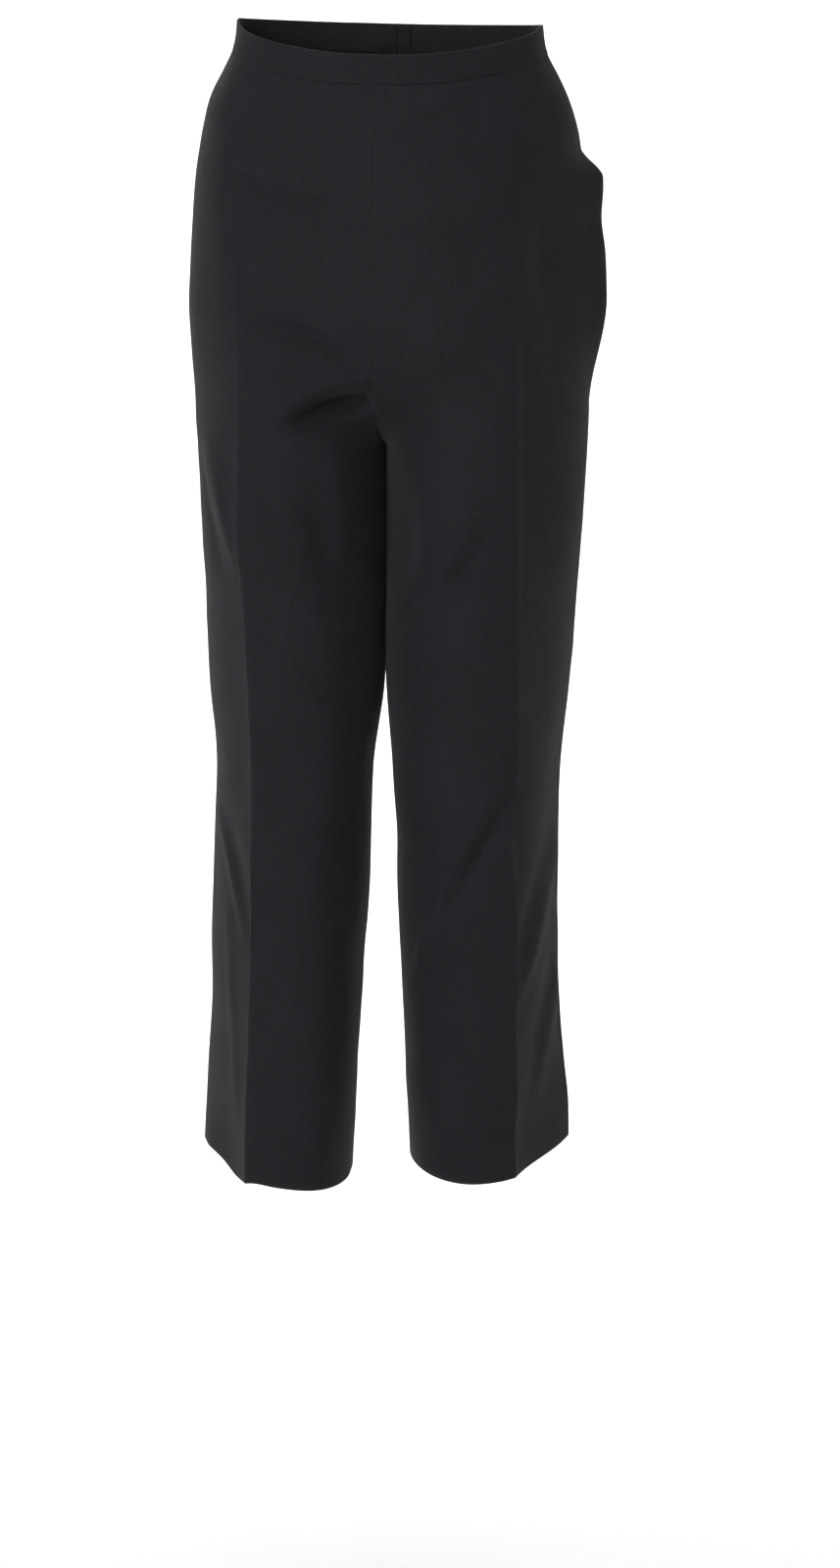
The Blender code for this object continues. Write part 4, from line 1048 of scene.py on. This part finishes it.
def makeBands():
    right, rightAcross = bandRing("right", "front", True, False)
    left, leftAcross = bandRing("left", "front", True, False)
    joined = np.concatenate([right, left[-2::-1]])
    total = rightAcross[-1] + leftAcross[-1]
    across = np.concatenate([rightAcross, total - leftAcross[-2::-1]])
    pieces = [(bandMesh("waistbandFront", joined, across), "waistband_front", "front")]
    for side in ("left", "right"):
        rings, run = bandRing(side, "back", True, True)
        made = bandMesh("waistbandBack" + side.capitalize(), rings, run)
        pieces.append((made, "waistband_back_" + side, "back"))
    for made, node, face in pieces:
        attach(made, "garment")
        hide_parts(node)


makeBands()
print("stage 4: waistband on")


# The pocket bags.
bagSet = {
    "seat": 0.0008, "wall": 0.0008, "fullness": 0.0050,
    "back": -0.24, "front": 0.90, "top": -0.070, "bottom": -0.275,
    "rows": 70, "columns": 60, "clothWidth": 0.2,
    "under": 0.0014,          # depth of the cloth it lies behind
    "endShare": 0.25, "slack": 0.0005, "slackWaves": (19, 7, 23),
}


def makeBag(side):
    level = np.linspace(bagSet["top"], bagSet["bottom"], bagSet["rows"])
    u = np.linspace(bagSet["back"], bagSet["front"], bagSet["columns"])
    down = np.linspace(0, 1, len(level))[:, None]
    across = np.linspace(0, 1, len(u))[None, :]
    full = ease(np.minimum(down, 1 - down) / bagSet["endShare"])
    full = full * ease(np.minimum(across, 1 - across) / bagSet["endShare"])
    a, b, c = bagSet["slackWaves"]
    slack = bagSet["slack"] * np.sin(across * a + down * b) * np.sin(down * c) * full
    reach = bagSet["under"] + bagSet["seat"] + bagSet["fullness"] * full + slack
    grids = []
    for face, part in (("back", u < 0), ("front", u >= 0)):
        points = surface(side, face, level, np.abs(u[part]), bowed=False, creased=False)
        turned = -1.0 if face == "back" else 1.0          # its columns run the other way
        grids.append((points, normalsOf(points, turned * outwardSign(side, face))))
    grid = np.concatenate([g[0] for g in grids], axis=1)
    normal = np.concatenate([g[1] for g in grids], axis=1)
    outer = grid - normal * reach[..., None]
    inner = outer - normal * bagSet["wall"]
    width = bagSet["clothWidth"]
    places = np.stack(np.broadcast_arrays(across * width, -down * width, 0 * full), axis=-1)
    made = wallMesh("pocketBag" + side.capitalize(), outer, inner, finishes["bag"], places)
    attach(made, "garment")
    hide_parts("pocket_bag_" + side)


for side in ("left", "right"):
    makeBag(side)
print("stage 5: pocket bags in")


# The concealed zip: two tapes behind the centre-back seam, their coil, the slider and its pull.
zipSet = {
    "tapeWidth": 0.0125,
    "tapeFrom": 0.0001,
    "tapeWall": 0.0006,
    "tapeSeat": 0.0002,       # from the cloth's inner side
    "top": 0.0085,            # behind the ends of the band
    "bottom": -0.172,
    "bandFoot": -0.0100,
    "bandFade": 0.003,
    "rows": 90,
    "columns": 9,
    "coilPitch": 0.0013,
    "coilRadius": 0.00115,
    "wireRadius": 0.00032,
    "coilSides": 6,
    "coilSteps": 8,
    "coilSink": 0.75,         # share of its radius that it lies in from the tapes
    "coilFlat": 0.7,
}


def makeTape(side):
    level = np.linspace(zipSet["top"], zipSet["bottom"], zipSet["rows"])
    reach = np.linspace(zipSet["tapeFrom"], zipSet["tapeWidth"], zipSet["columns"])
    u = 2.0 - reach[None, :] / paceAt(side, "back", level, 2.0)
    grid = surface(side, "back", level, u)
    normal = normalsOf(grid, -outwardSign(side, "back"))      # columns run the other way from a panel's
    onBand = ease((level - zipSet["bandFoot"]) / zipSet["bandFade"])[:, None]      # the band is thicker
    depth = zipSet["tapeSeat"] + cut["cloth"] + (band["thick"] - cut["cloth"]) * onBand
    outer = grid - normal * depth[..., None]
    inner = outer - normal * zipSet["tapeWall"]
    outer[:, 0, 0] = inner[:, 0, 0] = 0.0                     # the tapes meet in the middle
    down = runAlong(grid[:, 0])
    places = np.stack([reach[None, :] + 0 * u, -down[:, None] + 0 * u, 0 * u], axis=-1)
    made = wallMesh("zipTape" + side.capitalize(), outer, inner, finishes["tape"], places)
    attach(made, "garment")
    return inner[:, 0], normal[:, 0]


def makeCoil(line, way):      # a fine spiral closed down the middle of the tapes
    length = runAlong(line)
    turns = length[-1] / zipSet["coilPitch"]
    count = int(turns * zipSet["coilSteps"])
    s = np.linspace(0.0, length[-1], count)
    middle = np.stack([np.interp(s, length, line[:, k]) for k in range(3)], axis=-1)
    out = unit(np.stack([np.interp(s, length, way[:, k]) for k in range(3)], axis=-1))
    over = np.cross(unit(np.gradient(middle, axis=0)), out)
    middle = middle - out * (zipSet["coilRadius"] * zipSet["coilSink"])
    angle = 2 * math.pi * s / zipSet["coilPitch"]
    ring = over * np.cos(angle)[:, None] + out * (zipSet["coilFlat"] * np.sin(angle))[:, None]
    route = middle + ring * zipSet["coilRadius"]
    heading = unit(np.gradient(route, axis=0))
    sideWay = unit(np.cross(heading, ring))
    upWay = np.cross(sideWay, heading)
    a = 2 * math.pi * np.arange(zipSet["coilSides"]) / zipSet["coilSides"]
    rings = route[:, None] + zipSet["wireRadius"] * (
        sideWay[:, None] * np.cos(a)[None, :, None] + upWay[:, None] * np.sin(a)[None, :, None])
    n = zipSet["coilSides"]
    faces = [tuple(f) for f in gridFaces(count, n, around=True)]
    faces.append(tuple(range(n))[::-1])
    faces.append(tuple(range((count - 1) * n, count * n)))
    made = linkMesh("zipCoil", rings.reshape(-1, 3), faces, finishes["nylon"])
    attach(made, "garment")


left, leftWay = makeTape("left")
right, rightWay = makeTape("right")
makeCoil((left + right) / 2, (leftWay + rightWay) / 2)


# The slider lies on the cloth at the centre back. Its pull hangs from a pin between two cheeks.
slider = {
    "level": -0.028,
    "width": 0.0060, "length": 0.0090, "thick": 0.0012, "waist": 0.0023,
    "cheekInside": 0.0017, "cheekThick": 0.0010, "cheekLength": 0.0036, "cheekAbovePin": 0.0010,
    "pinAbovePlate": 0.0015, "pinRadius": 0.0006,
    "shoulder": 0.001, "cheekSunk": 0.0003, "pinHub": 0.00001,
    "soft": 0.00022,          # how far its edges are rounded
    "turnSides": 33,          # places round a turned part
}
pull = {
    "length": 0.022, "width": 0.0052, "neck": 0.0028, "neckEnd": 0.0035, "shoulder": 0.0065, "thick": 0.0010,
    "holeAt": -0.0186, "holeRadius": 0.0009,
    "knuckle": 0.0012, "bore": 0.0009, "knuckleHalf": 0.0014, "restGap": 0.0004,
    "soft": 0.00020, "knuckleSoft": 0.0001,
}


def softened(loop, times):          # a closed outline with its corners cut off again and again
    for k in range(times):
        after = loop[1:] + loop[:1]
        loop = [(a[0] * s + b[0] * (1 - s), a[1] * s + b[1] * (1 - s))
                for a, b in zip(loop, after) for s in (0.75, 0.25)]
    return loop


def stamping(loops, thick, soft):   # a stamped part with soft edges, standing in x and z
    curve = bpy.data.curves.new("stamping", "CURVE")
    curve.dimensions = "2D"
    curve.fill_mode = "BOTH"
    curve.extrude = thick / 2 - soft
    curve.bevel_depth = soft
    curve.bevel_resolution = 3
    curve.offset = -soft
    for loop in loops:
        line = curve.splines.new("POLY")
        line.points.add(len(loop) - 1)
        for point, (x, z) in zip(line.points, loop):
            point.co = (x, z, 0.0, 1.0)
        line.use_cyclic_u = True
    holder = bpy.data.objects.new("stamping", curve)
    scene.collection.objects.link(holder)
    mesh = bpy.data.meshes.new_from_object(holder.evaluated_get(bpy.context.evaluated_depsgraph_get()))
    bpy.data.objects.remove(holder)
    mesh.transform(Matrix.Rotation(math.pi / 2, 4, "X"))
    return mesh


def softBlock(low, high, soft):
    shape = bmesh.new()
    bmesh.ops.create_cube(shape, size=1.0)
    middle = (Vector(low) + Vector(high)) / 2
    for point in shape.verts:
        point.co = Vector([c * (h - l) for c, h, l in zip(point.co, high, low)]) + middle
    bmesh.ops.bevel(shape, geom=shape.edges[:], offset=soft, segments=3, profile=0.5, affect="EDGES")
    mesh = bpy.data.meshes.new("softBlock")
    shape.to_mesh(mesh)
    shape.free()
    return mesh


def turnedPart(profile, height):    # a part turned about x, from a closed run of (x, radius)
    turns = np.linspace(0, 2 * math.pi, slider["turnSides"])[:, None]
    x = np.array([p[0] for p in profile])[None, :] + 0 * turns
    radius = np.array([p[1] for p in profile])[None, :]
    points = np.stack([x, radius * np.cos(turns) + height, radius * np.sin(turns)], axis=-1).reshape(-1, 3)
    mesh = bpy.data.meshes.new("turnedPart")
    faces = gridFaces(slider["turnSides"], len(profile), around=True)
    mesh.from_pydata(points.tolist(), [], [tuple(f) for f in faces])
    return mesh


def joinedPiece(name, meshes, place, body, node):
    shape = bmesh.new()
    for mesh in meshes:
        shape.from_mesh(mesh)
        bpy.data.meshes.remove(mesh)
    bmesh.ops.remove_doubles(shape, verts=shape.verts[:], dist=1e-6)
    bmesh.ops.recalc_face_normals(shape, faces=shape.faces[:])
    shape.transform(place)
    mesh = bpy.data.meshes.new(name)
    shape.to_mesh(mesh)
    shape.free()
    mesh.shade_smooth()
    mesh.set_sharp_from_angle(angle=math.radians(40))
    mesh.materials.append(finishes["metal"])
    made = bpy.data.objects.new(name, mesh)
    scene.collection.objects.link(made)
    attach(made, body)
    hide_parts(node)


def makeSlider():
    levels = [slider["level"], slider["level"] - pull["length"]]
    seat, below = surface("left", "back", levels, [2.0], creased=False)[:, 0]
    slope = math.atan2(below[1] - seat[1], seat[2] - below[2])
    plate = cut["seamGap"] + slider["thick"]
    pin = plate + slider["pinAbovePlate"]
    half, long, waist = slider["width"] / 2, slider["length"] / 2, slider["waist"]
    shoulder = slider["shoulder"]
    outline = [(-half, long), (-half, shoulder), (-waist, -shoulder), (-waist, -long),
               (waist, -long), (waist, -shoulder), (half, shoulder), (half, long)]
    body = stamping([softened(outline, 3)], slider["thick"], slider["soft"])
    body.transform(Matrix.Translation((0, plate - slider["thick"] / 2, 0)))
    meshes = [body]
    for sign in (-1, 1):
        ends = sorted((sign * slider["cheekInside"], sign * (slider["cheekInside"] + slider["cheekThick"])))
        low = (ends[0], plate - slider["cheekSunk"], -slider["cheekLength"] / 2)
        high = (ends[1], pin + slider["cheekAbovePin"], slider["cheekLength"] / 2)
        meshes.append(softBlock(low, high, slider["soft"]))
    reach = slider["cheekInside"] + slider["cheekThick"] / 2
    hub, radius = slider["pinHub"], slider["pinRadius"]
    meshes.append(turnedPart([(-reach, hub), (-reach, radius), (reach, radius), (reach, hub)], pin))
    onCloth = Matrix.Translation((0, seat[1], seat[2])) @ Matrix.Rotation(slope, 4, "X")
    joinedPiece("zipSlider", meshes, onCloth, "garment", "zip_slider")
    hangingFrom = onCloth @ Vector((0, pin, 0))
    lean = math.atan2(pin - pull["thick"] / 2 - pull["restGap"], pull["length"])
    return Matrix.Translation(hangingFrom) @ Matrix.Rotation(slope - lean, 4, "X")


def makePull(place):
    neck, wide, foot = pull["neck"] / 2, pull["width"] / 2, -(pull["length"] - pull["width"] / 2)
    outline = [(-neck, -pull["bore"]), (-neck, -pull["neckEnd"]), (-wide, -pull["shoulder"])]
    outline += [(-wide * math.cos(a), foot - wide * math.sin(a)) for a in np.radians(range(0, 181, 12))]
    outline += [(wide, -pull["shoulder"]), (neck, -pull["neckEnd"]), (neck, -pull["bore"])]
    hole = [(pull["holeRadius"] * math.cos(a), pull["holeAt"] + pull["holeRadius"] * math.sin(a))
            for a in np.radians(range(0, 360, 15))]
    tab = stamping([softened(outline, 2), hole], pull["thick"], pull["soft"])
    out, bore, half, soft = (pull[key] for key in ("knuckle", "bore", "knuckleHalf", "knuckleSoft"))
    ring = turnedPart([(-half, bore), (-half, out - soft), (-half + soft, out), (half - soft, out),
                       (half, out - soft), (half, bore)], 0.0)
    joinedPiece("zipPull", [tab, ring], place, "zip_pull", "zip_pull")


makePull(makeSlider())
print("stage 6: zip in")


# The pale studio.
studio = {
    "floorLevel": -1.30,
    "wallAt": 6.0,            # a round room, wide enough for a camera on any side
    "wallTop": 5.0,
    "sweepRadius": 2.0,
    "sweepSteps": 25,
    "sides": 96,
    "hub": 0.0001,            # the floor closes to this in its middle
    "floorColour": (0.80, 0.80, 0.80),
    "worldColour": (1.0, 1.0, 1.0, 1.0),
    "worldStrength": 0.04,
}
lamps = (                     # name, place, aimed at, width, height, watts
    ("frontSoft", (-0.45, -4.2, 0.9), (0.0, 0.0, -0.45), 2.0, 2.0, 158),
    ("keyLeft", (-1.8, -3.0, 1.2), (0.0, 0.0, -0.45), 1.4, 2.0, 57),
    ("topSoft", (0.0, -0.9, 3.0), (0.0, 0.0, -0.45), 2.4, 1.6, 26),
    ("backWash", (0.0, 1.2, 2.4), (0.0, 5.2, 0.9), 4.0, 1.2, 350),      # faces away from the trousers
    ("backSoft", (-1.5, 4.0, 1.4), (0.0, 0.0, -0.45), 2.0, 2.0, 45),    # for views from behind
)


def makeStudio():
    turn, floor, wall, around = (studio[key] for key in ("sweepRadius", "floorLevel", "wallAt", "sides"))
    profile = [(studio["hub"], floor)]
    for a in np.radians(np.linspace(0, 90, studio["sweepSteps"])):
        profile.append((wall - turn + turn * math.sin(a), floor + turn - turn * math.cos(a)))
    profile.append((wall, studio["wallTop"]))
    points = np.array([(r * math.cos(a), r * math.sin(a), z)
                       for a in np.linspace(0, 2 * math.pi, around, endpoint=False) for r, z in profile])
    n = Nodes("paleSweep")
    place = n.add("TexCoord").outputs["Object"]
    pale = studio["floorColour"]
    tint = n.mix(n.noise(place, 0.8, 3.0), rgba([c * 0.99 for c in pale]), rgba(pale))
    finish = n.finish({"Base Color": tint, "Roughness": 0.9, "Specular IOR Level": 0.1})
    corner = len(profile)
    faces = []
    for a in range(around):
        here, after = a * corner, (a + 1) % around * corner
        faces += [(here + k, after + k, after + k + 1, here + k + 1) for k in range(corner - 1)]
    sweep = linkMesh("paleSweep", points, faces, finish)
    world = bpy.data.worlds.new("softRoom")
    world.use_nodes = True
    world.node_tree.nodes["Background"].inputs[0].default_value = studio["worldColour"]
    world.node_tree.nodes["Background"].inputs[1].default_value = studio["worldStrength"]
    scene.world = world
    for name, place, aim, width, height, watts in lamps:
        data = bpy.data.lights.new(name, "AREA")
        data.shape = "RECTANGLE"
        data.size = width
        data.size_y = height
        data.energy = watts
        lamp = bpy.data.objects.new(name, data)
        lamp.location = place
        lamp.visible_camera = False
        lamp.rotation_euler = (Vector(aim) - Vector(place)).to_track_quat("-Z", "Y").to_euler()
        scene.collection.objects.link(lamp)
    scene.view_settings.view_transform = "Standard"


makeStudio()
print("stage 7: studio lit")
